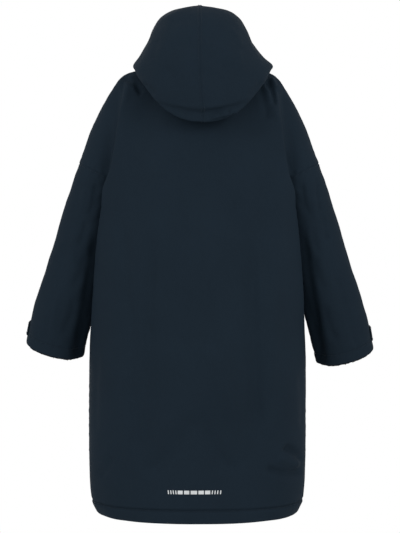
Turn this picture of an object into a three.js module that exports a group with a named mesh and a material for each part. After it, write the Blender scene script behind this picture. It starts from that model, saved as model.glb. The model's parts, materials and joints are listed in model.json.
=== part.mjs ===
// Hooded changing robe, standing filled out as if worn, closed with a front zip.
// Millimetres, +Z up. The front faces -Y and the wearer's left is +X.
// The origin is where the shoulders carry the robe: on the mid plane, at shoulder height.
//
// Every cloth piece is a grid of points on the robe's outer face. The grid is thickened
// inward along its normals, and its seam edges stand back a little from the neighbour's.

import * as THREE from 'three';

// Driving dimensions
const WALL = 3;                  // shell and lining together
const SEAM_GAP = 0.3;            // between two pieces that are sewn together
const UNDERARM_Z = -280;
const HEM_Z = -1055;
const UNDERARM_DIP = 60;         // the row of the underarm runs this much lower at the centre
const DIP_POWER = 4;             // how late, toward the side, that row rises
const SIDE_POWER = 3;            // how late the panel's lower rows turn to the armhole's shape
const COLUMN_CROWDING = 1.25;    // columns of a panel lie closer together toward the side
const FOLD_FADE = 0.2;           // share of a fold's length in which it fades out
const FOLD_EDGE_POWER = 8;       // how close to a seam the folds run
const HEM_LIFT = 8;              // how much higher the hem is at the sides
const SQUARENESS = 2.3;          // 2 is an ellipse, more is boxier
const ARM_POINT = [288, -14, -218];
const ARMHOLE_DEPTH = 64;        // half the armhole's size from front to back
const ZIP_HALF_WIDTH = 9;
const TAPE_WALL = 2;
const RIGHT_CUFF_DROP = 15;      // the right cuff hangs this much lower
const RIGHT_CUFF_OUT = 4.2;      // and this much further out
const LINING_WALL = 4;           // fleece at the cuffs
const LINING_SHOWS = 4;
const TAB_WALL = 2.4;
const NECK_DROP_FRONT = 0.7;     // the body's neck edge lies this much below the hood's
const NECK_DROP_BACK = 5;

// Cells along and across each piece
const CELLS = { half: 14, upper: 11, lower: 15, sleeve: 13, hoodAcross: 14, hoodUp: 21 };

// Colours
const NAVY = { color: 0x1d2731, roughness: 0.72, metalness: 0 };
const FLEECE = { color: 0x14181d, roughness: 0.95, metalness: 0 };
const TAPE = { color: 0x15191e, roughness: 0.8, metalness: 0 };
const METAL = { color: 0x2b2d30, roughness: 0.4, metalness: 0.8 };

// Torso below the underarm. half: half width; back, front: reach in Y; lean: shift in X.
const TORSO = [
  { z: -280, half: 244, back: 158, front: -142, lean: 0 },
  { z: -355, half: 250, back: 164, front: -147, lean: 1 },
  { z: -475, half: 255, back: 171, front: -154, lean: 2 },
  { z: -590, half: 257, back: 176, front: -159, lean: 3 },
  { z: -720, half: 260, back: 178, front: -162, lean: 4 },
  { z: -850, half: 261, back: 177, front: -163, lean: 4 },
  { z: -960, half: 259, back: 175, front: -162, lean: 4 },
  { z: -1025, half: 253, back: 174, front: -161, lean: 4 },
  { z: -1055, half: 240, back: 173, front: -160, lean: 4 },
];
const SIDE_SEAM_Y = -10;

// The hollow that each sleeve lies in: a level ellipse, and how it moves for each mm down
const ARM_HOLLOW = {
  x: 246, y: -12, half: 78, depth: 84, outward: 0.27, forward: 0.1, widen: 0.02, soften: 36,
};

// Centre lines from the underarm level up to the neck seam
const CENTRE_BACK = [
  { k: 0, y: 163, z: -340 },
  { k: 0.26, y: 161, z: -250 },
  { k: 0.5, y: 154, z: -165 },
  { k: 0.69, y: 139, z: -100 },
  { k: 0.85, y: 114, z: -49 },
  { k: 1, y: 88, z: -4 },
];
const CENTRE_FRONT = [
  { k: 0, y: -146, z: -340 },
  { k: 0.29, y: -144, z: -250 },
  { k: 0.53, y: -138, z: -175 },
  { k: 0.76, y: -118, z: -105 },
  { k: 1, y: -84, z: -39.7 },
];

// Shoulder seam, from the neck point over the shoulder to the top of the armhole
const SHOULDER = [
  { u: 0.25, x: 86, y: 10, z: 10 },
  { u: 0.38, x: 120, y: 8, z: 7 },
  { u: 0.5, x: 154, y: 4, z: 2 },
  { u: 0.6, x: 184, y: 0, z: -10 },
  { u: 0.7, x: 210, y: -4, z: -44 },
  { u: 0.8, x: 237, y: -8, z: -92 },
  { u: 0.87, x: 259, y: -11, z: -139 },
  { u: 0.94, x: 276, y: -13, z: -187 },
  { u: 1, x: 288, y: -14, z: -218 },
];

// Sleeve sections from the armhole to the cuff. tilt and pitch turn the section in degrees;
// half and depth are its half sizes across and from front to back.
const SLEEVE = [
  { s: 0, x: 228, y: -14, z: -249, tilt: 28, pitch: 0, half: 67, depth: 64 },
  { s: 0.11, x: 250, y: -17, z: -296, tilt: 22, pitch: 4, half: 62, depth: 66 },
  { s: 0.31, x: 272, y: -24, z: -378, tilt: 17, pitch: 8, half: 66, depth: 67 },
  { s: 0.54, x: 298, y: -35, z: -476, tilt: 16, pitch: 11, half: 70, depth: 65 },
  { s: 0.79, x: 331, y: -50, z: -582, tilt: 15, pitch: 14, half: 73, depth: 62 },
  { s: 1, x: 352, y: -64, z: -667, tilt: 14, pitch: 16, half: 72, depth: 60 },
];

// Hood rows from the neck seam to the crown: the face edge, the widest point at the side
// and the centre back of each. The first rows hang over the neck seam and turn up again.
const HOOD_COLUMNS = ['v', 'faceX', 'faceY', 'faceZ', 'sideX', 'sideY', 'sideZ', 'backY', 'backZ', 'lean'];
const HOOD = [
  [0, 9, -84, -39, 86, 10, 11, 88, 1, 0],
  [0.045, 12, -88, -35, 106, 16, 16, 119, -25, -2],
  [0.09, 16, -91, -30, 128, 22, 15, 147, -68, -4],
  [0.18, 24, -95, -20, 160, 30, 5, 180, -137, -9],
  [0.25, 32, -99, -9, 163, 32, 13, 197, -112, -9],
  [0.36, 50, -106, 10, 148, 30, 30, 202, -56, -5],
  [0.48, 68, -112, 34, 134, 28, 50, 200, 0, -3],
  [0.6, 80, -114, 60, 121, 24, 76, 188, 48, -2],
  [0.71, 82, -112, 86, 108, 20, 102, 168, 86, -2],
  [0.81, 72, -107, 112, 92, 14, 125, 140, 116, -2],
  [0.9, 46, -101, 134, 62, 8, 142, 106, 136, -2],
  [1, 0, -96, 144, 0, 2, 151, 66, 149, -2],
].map((row) => Object.fromEntries(row.map((value, i) => [HOOD_COLUMNS[i], value])));

// Large folds of the back (face 1) and the fronts (face -1): straight and soft, troughs where
// rise is negative and ridges where it is not
const FOLDS = [
  { name: 'left arm valley', face: 1, x0: 190, z0: -20, x1: 222, z1: -232, width: 15, rise: -14 },
  { name: 'right arm valley', face: 1, x0: -196, z0: -24, x1: -224, z1: -236, width: 15, rise: -14 },
  { name: 'back diagonal ridge', face: 1, x0: 2, z0: -190, x1: -82, z1: -850, width: 46, rise: 6 },
  { name: 'back right trough', face: 1, x0: -118, z0: -420, x1: -136, z1: -900, width: 26, rise: -6 },
  { name: 'back left trough', face: 1, x0: 104, z0: -560, x1: 128, z1: -930, width: 34, rise: -5 },
  { name: 'front left arm valley', face: -1, x0: 190, z0: -24, x1: 222, z1: -250, width: 15, rise: -13 },
  { name: 'front right arm valley', face: -1, x0: -190, z0: -24, x1: -222, z1: -250, width: 15, rise: -13 },
  { name: 'front left ridge', face: -1, x0: 112, z0: -260, x1: 138, z1: -880, width: 42, rise: 6 },
  { name: 'front right ridge', face: -1, x0: -104, z0: -300, x1: -146, z1: -860, width: 42, rise: 6 },
];

// A smooth curve through one named column of a table
function column(rows, key, at, name) {
  const last = rows.length - 1;
  const falling = rows[last][key] < rows[0][key];
  let i = 0;
  while (i < last - 1 && (falling ? at < rows[i + 1][key] : at > rows[i + 1][key])) i += 1;
  const slope = (j) => {
    const a = rows[Math.max(j - 1, 0)];
    const b = rows[Math.min(j + 1, last)];
    return (b[name] - a[name]) / (b[key] - a[key]);
  };
  const span = rows[i + 1][key] - rows[i][key];
  const t = THREE.MathUtils.clamp((at - rows[i][key]) / span, 0, 1);
  const t2 = t * t;
  const t3 = t2 * t;
  return (2 * t3 - 3 * t2 + 1) * rows[i][name] + (t3 - 2 * t2 + t) * span * slope(i)
    + (3 * t2 - 2 * t3) * rows[i + 1][name] + (t3 - t2) * span * slope(i + 1);
}

const vector = (x, y, z) => new THREE.Vector3(x, y, z);
const power = (value) => Math.pow(Math.max(value, 0), 2 / SQUARENESS);

// Torso section at height z. turn runs from 0 at the side seam to 1 at the centre;
// face is 1 for the back and -1 for the front, side is 1 for the wearer's left.
function torso(turn, z, face, side) {
  const value = (name) => column(TORSO, 'z', z, name);
  const angle = turn * Math.PI / 2;
  const reach = value(face > 0 ? 'back' : 'front') - SIDE_SEAM_Y;
  const y = SIDE_SEAM_Y + reach * power(Math.sin(angle));
  const wide = value('half') * power(Math.cos(angle));
  const x = smoothMin(wide, hollowX(y, z), ARM_HOLLOW.soften * Math.cos(angle));
  return vector(side * x + value('lean'), y, z);
}

// The inner side of the arm hollow at one depth and height
function hollowX(y, z) {
  const drop = UNDERARM_Z - z;
  const off = (y - ARM_HOLLOW.y + ARM_HOLLOW.forward * drop) / ARM_HOLLOW.depth;
  const middle = ARM_HOLLOW.x + ARM_HOLLOW.outward * drop;
  const half = ARM_HOLLOW.half + ARM_HOLLOW.widen * drop;
  return Math.abs(off) < 1 ? middle - half * Math.sqrt(1 - off * off) : middle + half * (Math.abs(off) - 1);
}

// The lesser of two values, rounded where they cross
function smoothMin(a, b, soften) {
  const blend = Math.max(soften - Math.abs(a - b), 0) / Math.max(soften, 0.001);
  return Math.min(a, b) - 0.25 * soften * blend * blend;
}

// Armhole, a tilted ellipse. k runs from 0 at the underarm to 1 at the arm point.
function armhole(k, face, side) {
  const under = torso(0, UNDERARM_Z, face, side);
  const top = vector(side * ARM_POINT[0], ARM_POINT[1], ARM_POINT[2]);
  const centre = under.clone().add(top).multiplyScalar(0.5);
  const across = top.clone().sub(centre);
  const angle = k * Math.PI;
  return centre.addScaledVector(across, -Math.cos(angle))
    .add(vector(0, face * ARMHOLE_DEPTH * Math.sin(angle), 0));
}

// One row of the hood. turn runs from 0 at the face edge through 0.5 at the side to 1.
function hoodPoint(turn, v, side) {
  const value = (name) => column(HOOD, 'v', v, name);
  const front = turn < 0.5;
  const angle = (front ? 0.5 - turn : turn - 0.5) * Math.PI;
  const sin = power(Math.sin(angle));
  const cos = power(Math.cos(angle));
  const endX = front ? value('faceX') : 0;
  const endY = front ? value('faceY') : value('backY');
  const endZ = front ? value('faceZ') : value('backZ');
  const x = endX + (value('sideX') - endX) * cos;
  const y = value('sideY') + (endY - value('sideY')) * sin;
  const z = value('sideZ') + (endZ - value('sideZ')) * sin * sin;
  return vector(side * x + value('lean'), y, z);
}

// Top edge of a body panel: the neck seam for u up to the neck point, then the shoulder seam
function topEdge(u, face, side) {
  const neckEnd = SHOULDER[0].u;
  if (u < neckEnd) {
    const turn = face > 0 ? 1 - 0.5 * u / neckEnd : 0.5 * u / neckEnd;
    const point = hoodPoint(turn, 0, side);
    return point.setZ(point.z - THREE.MathUtils.lerp(NECK_DROP_FRONT, NECK_DROP_BACK, turn));
  }
  const value = (name) => column(SHOULDER, 'u', u, name);
  return vector(side * value('x'), value('y'), value('z'));
}

const centreLine = (k, face, side) => {
  const rows = face > 0 ? CENTRE_BACK : CENTRE_FRONT;
  const x = face > 0 ? 0 : side * ZIP_HALF_WIDTH;
  return vector(x, column(rows, 'k', k, 'y'), column(rows, 'k', k, 'z'));
};

// Body panel point. u runs from 0 at the centre line to 1 at the side; v runs from -1 at
// the top edge through 0 at the underarm to 1 at the hem.
function bodyPoint(u, v, face, side) {
  const spread = 1 - (1 - u) ** COLUMN_CROWDING;
  const low = (z) => {
    const point = torso(1 - spread, z, face, side);
    if (face < 0) point.x += side * ZIP_HALF_WIDTH * (1 - spread);
    return point;
  };
  const underarmRow = UNDERARM_Z - UNDERARM_DIP * (1 - u ** DIP_POWER);
  if (v >= 0) {
    const point = low(THREE.MathUtils.lerp(underarmRow, HEM_Z, v));
    point.z += HEM_LIFT * v ** 4 * u ** 2;
    return point;
  }
  const k = -v;
  const ease = k * k * (3 - 2 * k);
  const toSide = THREE.MathUtils.lerp(u ** SIDE_POWER, u * (2 - u), ease);
  const mix = (a, b, t) => a.clone().lerp(b, t);
  const rows = mix(low(underarmRow), topEdge(u, face, side), ease);
  const sides = mix(centreLine(k, face, side), armhole(k, face, side), toSide);
  const bottomCorners = mix(centreLine(0, face, side), armhole(0, face, side), toSide);
  const topCorners = mix(centreLine(1, face, side), armhole(1, face, side), toSide);
  return rows.add(sides).sub(mix(bottomCorners, topCorners, ease));
}

// How far the folds lift the cloth at a point of one face
function foldRise(point, face) {
  let rise = 0;
  for (const fold of FOLDS) {
    if (fold.face !== face) continue;
    const dx = fold.x1 - fold.x0;
    const dz = fold.z1 - fold.z0;
    const length = Math.hypot(dx, dz);
    const along = ((point.x - fold.x0) * dx + (point.z - fold.z0) * dz) / length;
    const across = ((point.x - fold.x0) * dz - (point.z - fold.z0) * dx) / length;
    const fade = THREE.MathUtils.smoothstep(along, 0, FOLD_FADE * length)
      * (1 - THREE.MathUtils.smoothstep(along, (1 - FOLD_FADE) * length, length));
    rise += fold.rise * fade * Math.exp(-((across / fold.width) ** 2));
  }
  return rise;
}

function sleevePoint(turn, s, side) {
  const value = (name) => column(SLEEVE, 's', s, name);
  if (s === 0) {
    return turn <= 0.5 ? armhole(2 * turn, 1, side) : armhole(2 - 2 * turn, -1, side);
  }
  const tilt = THREE.MathUtils.degToRad(value('tilt'));
  const pitch = THREE.MathUtils.degToRad(value('pitch'));
  const hang = side < 0 ? s * s : 0;
  const across = -Math.cos(2 * Math.PI * turn) * value('half');
  const deep = Math.sin(2 * Math.PI * turn) * value('depth');
  const x = value('x') + across * Math.cos(tilt) + RIGHT_CUFF_OUT * hang;
  const y = value('y') + deep * Math.cos(pitch);
  const z = value('z') + across * Math.sin(tilt) - deep * Math.sin(pitch) - RIGHT_CUFF_DROP * hang;
  return vector(side * x, y, z);
}

// A piece of cloth: a grid of points on its outer face. wraps joins its first and last columns,
// flip turns its normals round, lift moves each point out, and sharpest is the least dot
// product of two normals at a seam that still share a direction.
const SHEET = { wall: WALL, wraps: false, flip: false, sharpest: -0.3, lift: null };
const SHARE_RANGE = 0.5;
const TOUCHING = 0.05;

class Sheet {
  constructor(options) {
    Object.assign(this, SHEET, options);
    const { across, along, wraps, point, lift } = this;
    this.columns = wraps ? across : across + 1;
    this.points = [];
    for (let i = 0; i < this.columns; i += 1) {
      this.points.push([]);
      for (let j = 0; j <= along; j += 1) this.points[i].push(point(i / across, j / along));
    }
    this.findNormals();
    if (lift) {
      this.each((i, j) => {
        const rise = lift(this.points[i][j], i / across, j / along);
        this.points[i][j].addScaledVector(this.normals[i][j], rise);
      });
      this.findNormals();
    }
  }

  each(action) {
    for (let i = 0; i < this.columns; i += 1) {
      for (let j = 0; j <= this.along; j += 1) action(i, j);
    }
  }

  at(i, j) {
    const inside = THREE.MathUtils.clamp(i, 0, this.columns - 1);
    const line = this.wraps ? (i + this.columns) % this.columns : inside;
    return this.points[line][THREE.MathUtils.clamp(j, 0, this.along)];
  }

  findNormals() {
    this.normals = this.points.map((line) => line.map(() => null));
    this.each((i, j) => {
      const sum = vector(0, 0, 0);
      for (const [a, b] of [[i - 1, j - 1], [i, j - 1], [i - 1, j], [i, j]]) {
        const rising = this.at(a + 1, b + 1).clone().sub(this.at(a, b));
        const falling = this.at(a, b + 1).clone().sub(this.at(a + 1, b));
        sum.add(rising.cross(falling));
      }
      this.normals[i][j] = sum.normalize().multiplyScalar(this.flip ? -1 : 1);
    });
  }

  isEdge(i, j) {
    return j === 0 || j === this.along || (!this.wraps && (i === 0 || i === this.columns - 1));
  }

  // Toward the sheet's own inside, along its face, from a point on its edge
  edgeInset(i, j) {
    const inset = vector(0, 0, 0);
    const toward = (a, b) => {
      inset.add(this.at(a, b).clone().sub(this.at(i, j)).setLength(SEAM_GAP / 2));
    };
    if (j === 0) toward(i, 1);
    if (j === this.along) toward(i, this.along - 1);
    if (!this.wraps && i === 0) toward(1, j);
    if (!this.wraps && i === this.columns - 1) toward(this.columns - 2, j);
    return inset;
  }

  mesh() {
    const rows = this.along + 1;
    const total = this.columns * rows;
    const positions = new Float32Array(total * 6);
    this.each((i, j) => {
      const outer = this.points[i][j].clone();
      if (this.isEdge(i, j)) outer.add(this.edgeInset(i, j));
      const inner = outer.clone().addScaledVector(this.normals[i][j], -this.wall);
      outer.toArray(positions, (i * rows + j) * 3);
      inner.toArray(positions, (total + i * rows + j) * 3);
    });
    const faces = [];
    const quad = (a, b, c, d) => {
      faces.push(...(this.flip ? [a, c, b, a, d, c] : [a, b, c, a, c, d]));
    };
    const spans = this.wraps ? this.columns : this.columns - 1;
    for (let i = 0; i < spans; i += 1) {
      const next = ((i + 1) % this.columns) * rows;
      const here = i * rows;
      for (let j = 0; j < this.along; j += 1) {
        quad(here + j, next + j, next + j + 1, here + j + 1);
        quad(total + here + j, total + here + j + 1, total + next + j + 1, total + next + j);
      }
      quad(next, here, total + here, total + next);
      quad(here + rows - 1, next + rows - 1, total + next + rows - 1, total + here + rows - 1);
    }
    if (!this.wraps) {
      const end = (this.columns - 1) * rows;
      for (let j = 0; j < this.along; j += 1) {
        quad(j, j + 1, total + j + 1, total + j);
        quad(end + j + 1, end + j, total + end + j, total + end + j + 1);
      }
    }
    const geometry = new THREE.BufferGeometry();
    geometry.setAttribute('position', new THREE.BufferAttribute(positions, 3));
    geometry.setIndex(faces);
    geometry.computeVertexNormals();
    return named(this.name, geometry, this.finish);
  }
}

function named(name, geometry, finish) {
  const mesh = new THREE.Mesh(geometry, new THREE.MeshStandardMaterial(finish));
  mesh.name = name;
  return mesh;
}

// Where two sheets meet in a seam without a sharp fold, both walls lean the same way
function shareSeamNormals(sheets) {
  const edges = [];
  for (const sheet of sheets) {
    sheet.each((i, j) => {
      if (!sheet.isEdge(i, j)) return;
      edges.push({ sheet, i, j, point: sheet.points[i][j], normal: sheet.normals[i][j] });
    });
  }
  for (const edge of edges) {
    const shared = edge.normal.clone();
    for (const other of edges) {
      if (other.sheet === edge.sheet || other.point.distanceTo(edge.point) > TOUCHING) continue;
      const sharpest = Math.max(edge.sheet.sharpest, other.sheet.sharpest);
      const alike = other.normal.dot(edge.normal);
      const weight = THREE.MathUtils.smoothstep(alike, sharpest, sharpest + SHARE_RANGE);
      shared.addScaledVector(other.normal, weight);
    }
    edge.sheet.normals[edge.i][edge.j] = shared.normalize();
  }
}

// Body panels. Rows go from the top edge (-1) through the underarm (0) to the hem (1). Each
// panel is two solids, above and below the underarm, and the back is halved at its centre line.
const BODY_ROWS = CELLS.upper + CELLS.lower;
const BANDS = { upper: [0, CELLS.upper], lower: [CELLS.upper, BODY_ROWS] };
const bodyRow = (row) => (row - CELLS.upper) / (row < CELLS.upper ? CELLS.upper : CELLS.lower);
const edgeFade = (u, v) => (1 - u ** FOLD_EDGE_POWER) * (1 - Math.min(v, 0) ** FOLD_EDGE_POWER);

function bodyPanel(part, band, label, face, side) {
  const [first, last] = BANDS[band];
  const rowAt = (b) => bodyRow(THREE.MathUtils.lerp(first, last, b));
  return new Sheet({
    name: `${part}_${band}_${label}`, finish: NAVY, across: CELLS.half, along: last - first,
    flip: face !== side,
    point: (a, b) => bodyPoint(a, rowAt(b), face, side),
    lift: (point, a, b) => foldRise(point, face) * edgeFade(a, rowAt(b)),
  });
}

function zipTape(label, side) {
  const point = (a, b) => {
    const row = bodyRow(b * BODY_ROWS);
    const edge = bodyPoint(0, row, -1, side);
    const middle = edge.clone().lerp(bodyPoint(0, row, -1, -side), 0.5);
    return middle.lerp(edge, a);
  };
  return new Sheet({
    name: `zip_tape_${label}`, finish: TAPE, wall: TAPE_WALL, across: 1, along: BODY_ROWS,
    flip: side > 0, point,
  });
}

// The sleeve's columns meet the armhole edge of the panels row for row
const SLEEVE_TURNS = 2 * CELLS.upper;

function sleeve(label, side) {
  return new Sheet({
    name: `sleeve_${label}`, finish: NAVY, across: SLEEVE_TURNS, along: CELLS.sleeve,
    wraps: true, flip: side < 0, sharpest: 0.1,
    point: (a, b) => sleevePoint(a, b, side),
  });
}

// The face of the sleeve moved out (or in, where the distance is negative)
function besideSleeve(turn, s, side, distance) {
  const step = 1 / 250;
  const point = sleevePoint(turn, s, side);
  const across = sleevePoint(turn + step, s, side).sub(sleevePoint(turn - step, s, side));
  const along = sleevePoint(turn, Math.min(s + step, 1), side).sub(sleevePoint(turn, s - step, side));
  const normal = across.cross(along).normalize().multiplyScalar(side);
  return point.addScaledVector(normal, distance);
}

// Hook and loop strap round the outside of the cuff
const TAB = { turn0: 0.47, turn1: 0.73, s0: 0.885, s1: 0.955, clearance: 0.9, across: 9, along: 2 };

function cuffTab(label, side) {
  const point = (a, b) => {
    const turn = THREE.MathUtils.lerp(TAB.turn0, TAB.turn1, a);
    const s = THREE.MathUtils.lerp(TAB.s0, TAB.s1, b);
    return besideSleeve(turn, s, side, TAB.clearance + TAB_WALL);
  };
  return new Sheet({
    name: `cuff_tab_${label}`, finish: NAVY, wall: TAB_WALL, across: TAB.across, along: TAB.along,
    flip: side < 0, point,
  });
}

// Fleece inside the cuff, which shows past its edge
const LINING = { s0: 0.88, lastBend: 0.97, rows: 4, clearance: 0.5 };

function cuffLining(label, side) {
  const inside = -(WALL + LINING.clearance);
  const point = (a, b) => {
    const row = b * LINING.rows;
    const s = THREE.MathUtils.lerp(LINING.s0, 1, Math.min(row / (LINING.rows - 1), 1));
    const place = besideSleeve(a, s, side, inside);
    if (row <= LINING.rows - 1) return place;
    const outward = place.clone().sub(besideSleeve(a, LINING.lastBend, side, inside)).normalize();
    return place.addScaledVector(outward, LINING_SHOWS);
  };
  return new Sheet({
    name: `cuff_lining_${label}`, finish: FLEECE, wall: LINING_WALL, across: SLEEVE_TURNS,
    along: LINING.rows, wraps: true, flip: side < 0, point,
  });
}

function hoodPanel(label, side) {
  return new Sheet({
    name: `hood_panel_${label}`, finish: NAVY, across: CELLS.hoodAcross, along: CELLS.hoodUp,
    flip: side < 0, point: (a, b) => hoodPoint(a, b, side),
  });
}

// Zip slider and pull, in a frame that leans with the zip. In it X is across the zip, Z is up
// along it and -Y is away from the cloth.
const SLIDER = {
  v: -0.9, reach: 0.04, width: 9, height: 12, plate: 2, rail: 1.4, railOut: 3, standOff: 0.4,
};
const PULL = { width: 5, length: 30, thick: 1.6, axisFromEnd: 0.8, axisFromPlate: 1.6, axisBelowTop: 3 };
const PULL_END_SEGMENTS = 8;

function zipHardware() {
  const middle = (v) => bodyPoint(0, v, -1, 1).lerp(bodyPoint(0, v, -1, -1), 0.5);
  const seat = middle(SLIDER.v);
  const up = middle(SLIDER.v - SLIDER.reach).sub(middle(SLIDER.v + SLIDER.reach));
  const frame = new THREE.Group();
  frame.position.copy(seat);
  frame.rotation.x = Math.atan2(-up.y, up.z);

  const half = SLIDER.width / 2;
  const top = -(SLIDER.standOff + SLIDER.plate + SLIDER.railOut);
  const plate = -(SLIDER.standOff + SLIDER.plate);
  const channel = new THREE.Shape([
    new THREE.Vector2(-half, -SLIDER.standOff), new THREE.Vector2(-half, top),
    new THREE.Vector2(-half + SLIDER.rail, top), new THREE.Vector2(-half + SLIDER.rail, plate),
    new THREE.Vector2(half - SLIDER.rail, plate), new THREE.Vector2(half - SLIDER.rail, top),
    new THREE.Vector2(half, top), new THREE.Vector2(half, -SLIDER.standOff),
  ]);
  const body = new THREE.ExtrudeGeometry(channel, { depth: SLIDER.height, bevelEnabled: false });
  const slider = named('zip_slider', body, METAL);
  slider.position.z = -SLIDER.height / 2;

  const side = PULL.width / 2;
  const outline = new THREE.Shape();
  outline.moveTo(-side, PULL.axisFromEnd);
  outline.lineTo(-side, side - PULL.length);
  outline.absarc(0, side - PULL.length, side, Math.PI, 2 * Math.PI, false);
  outline.lineTo(side, PULL.axisFromEnd);
  outline.closePath();
  const tab = new THREE.ExtrudeGeometry(outline, {
    depth: PULL.thick, bevelEnabled: false, curveSegments: PULL_END_SEGMENTS,
  });
  tab.translate(0, 0, -PULL.thick / 2);
  tab.rotateX(Math.PI / 2);
  const pull = named('zip_pull', tab, METAL);
  pull.position.set(0, plate - PULL.axisFromPlate, SLIDER.height / 2 - PULL.axisBelowTop);
  frame.add(slider, pull);
  return frame;
}

const SIDES = [['left', 1], ['right', -1]];
const sheets = [];
for (const [label, side] of SIDES) {
  for (const band of Object.keys(BANDS)) {
    sheets.push(bodyPanel('back', band, label, 1, side), bodyPanel('front', band, label, -1, side));
  }
  sheets.push(zipTape(label, side), sleeve(label, side), hoodPanel(label, side));
  sheets.push(cuffTab(label, side), cuffLining(label, side));
}
shareSeamNormals(sheets);

const group = new THREE.Group();
for (const sheet of sheets) group.add(sheet.mesh());
group.add(zipHardware());

export default group;
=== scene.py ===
import json
import math

import bpy
import numpy as np
from mathutils import Matrix, Vector, noise


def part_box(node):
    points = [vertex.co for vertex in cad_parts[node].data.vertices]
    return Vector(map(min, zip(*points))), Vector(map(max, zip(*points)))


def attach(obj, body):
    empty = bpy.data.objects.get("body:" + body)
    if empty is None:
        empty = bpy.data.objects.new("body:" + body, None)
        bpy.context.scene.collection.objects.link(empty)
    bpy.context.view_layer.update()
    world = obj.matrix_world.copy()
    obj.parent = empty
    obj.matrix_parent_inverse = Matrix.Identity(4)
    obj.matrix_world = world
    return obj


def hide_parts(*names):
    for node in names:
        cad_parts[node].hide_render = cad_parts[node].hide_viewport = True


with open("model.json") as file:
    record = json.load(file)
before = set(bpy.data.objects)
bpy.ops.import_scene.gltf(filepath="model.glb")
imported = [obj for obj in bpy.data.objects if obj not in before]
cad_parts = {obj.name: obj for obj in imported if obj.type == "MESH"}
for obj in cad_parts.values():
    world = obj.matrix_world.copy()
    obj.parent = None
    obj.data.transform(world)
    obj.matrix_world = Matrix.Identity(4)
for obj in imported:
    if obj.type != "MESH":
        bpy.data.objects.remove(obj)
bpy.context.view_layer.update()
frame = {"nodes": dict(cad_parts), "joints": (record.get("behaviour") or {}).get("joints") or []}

bl_info = {
    "name": "Changing robe",
    "version": (1, 0, 0),
    "blender": (4, 5, 0),
    "location": "View3D > Sidebar > Robe",
    "description": "Builds a hooded changing robe, filled out as if worn, round its solids",
    "category": "Object",
}

MM = 0.001
THREAD = 0.0009  # repeat of the shell's weave

# ------------------------------------------------------------------ form of the robe, in mm
# Every cloth piece is a grid of points on the robe's outer face, from the same sections as
# its solid. The creases are added to the grid, and then it is given its thickness.


class Table:
    """Rows with named columns, each read by a smooth curve along the first column."""

    def __init__(self, names, rows):
        self.names = names.split()
        self.rows = np.array(sorted(rows), float)

    def __call__(self, name, at):
        key, value = self.rows[:, 0], self.rows[:, self.names.index(name)]
        every = np.arange(len(key))
        last = len(key) - 1
        i = np.clip(np.searchsorted(key, at, side="right") - 1, 0, last - 1)
        low, high = np.maximum(every - 1, 0), np.minimum(every + 1, last)
        slope = (value[high] - value[low]) / (key[high] - key[low])
        span = key[i + 1] - key[i]
        t = np.clip((at - key[i]) / span, 0, 1)
        t2, t3 = t * t, t * t * t
        return (
            (2 * t3 - 3 * t2 + 1) * value[i]
            + (t3 - 2 * t2 + t) * span * slope[i]
            + (3 * t2 - 2 * t3) * value[i + 1]
            + (t3 - t2) * span * slope[i + 1]
        )


UNDERARM_Z, HEM_Z, SIDE_SEAM_Y = -280, -1055, -10
UNDERARM_DIP, DIP_POWER, SIDE_POWER, COLUMN_CROWDING = 60, 4, 3, 1.25
HEM_LIFT, SQUARENESS, ZIP_HALF_WIDTH = 8, 2.3, 9
ARM_POINT, ARMHOLE_DEPTH = (288, -14, -218), 64
RIGHT_CUFF_DROP, RIGHT_CUFF_OUT = 15, 4.2
NECK_DROP_FRONT, NECK_DROP_BACK = 0.7, 5
# Where up its grid the hood folds down over itself, and how much thinner it is inside that
HOOD_FOLD, FOLD_REACH, FOLD_THINNER = 0.18, 0.035, 2.4
HOOD_BEHIND, ABOVE_FOLD = (0.5, 0.62), (0.182, 0.215)
DENT_SLOPE = 0.3  # near the fold, a dent is no deeper than this share of its height over it
ZIP_STITCH_IN, SEAM_STITCH_IN, STRAP_STITCH_IN, ARMHOLE_STITCH_IN = 6, 4, 3.2, 5

TORSO = Table("z half back front lean", [
    (-280, 244, 158, -142, 0),
    (-355, 250, 164, -147, 1),
    (-475, 255, 171, -154, 2),
    (-590, 257, 176, -159, 3),
    (-720, 260, 178, -162, 4),
    (-850, 261, 177, -163, 4),
    (-960, 259, 175, -162, 4),
    (-1025, 253, 174, -161, 4),
    (-1055, 240, 173, -160, 4),
])
ARM_HOLLOW = {
    "x": 246, "y": -12, "half": 78, "depth": 84,
    "outward": 0.27, "forward": 0.1, "widen": 0.02, "soften": 36,
}
CENTRE_BACK = Table("k y z", [
    (0, 163, -340), (0.26, 161, -250), (0.5, 154, -165), (0.69, 139, -100),
    (0.85, 114, -49), (1, 88, -4),
])
CENTRE_FRONT = Table("k y z", [
    (0, -146, -340), (0.29, -144, -250), (0.53, -138, -175), (0.76, -118, -105), (1, -84, -39.7),
])
SHOULDER = Table("u x y z", [
    (0.25, 86, 10, 10), (0.38, 120, 8, 7), (0.5, 154, 4, 2), (0.6, 184, 0, -10),
    (0.7, 210, -4, -44), (0.8, 237, -8, -92), (0.87, 259, -11, -139), (0.94, 276, -13, -187),
    (1, 288, -14, -218),
])
SLEEVE = Table("s x y z tilt pitch half depth", [
    (0, 228, -14, -249, 28, 0, 67, 64),
    (0.11, 250, -17, -296, 22, 4, 62, 66),
    (0.31, 272, -24, -378, 17, 8, 66, 67),
    (0.54, 298, -35, -476, 16, 11, 70, 65),
    (0.79, 331, -50, -582, 15, 14, 73, 62),
    (1, 352, -64, -667, 14, 16, 72, 60),
])
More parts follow.
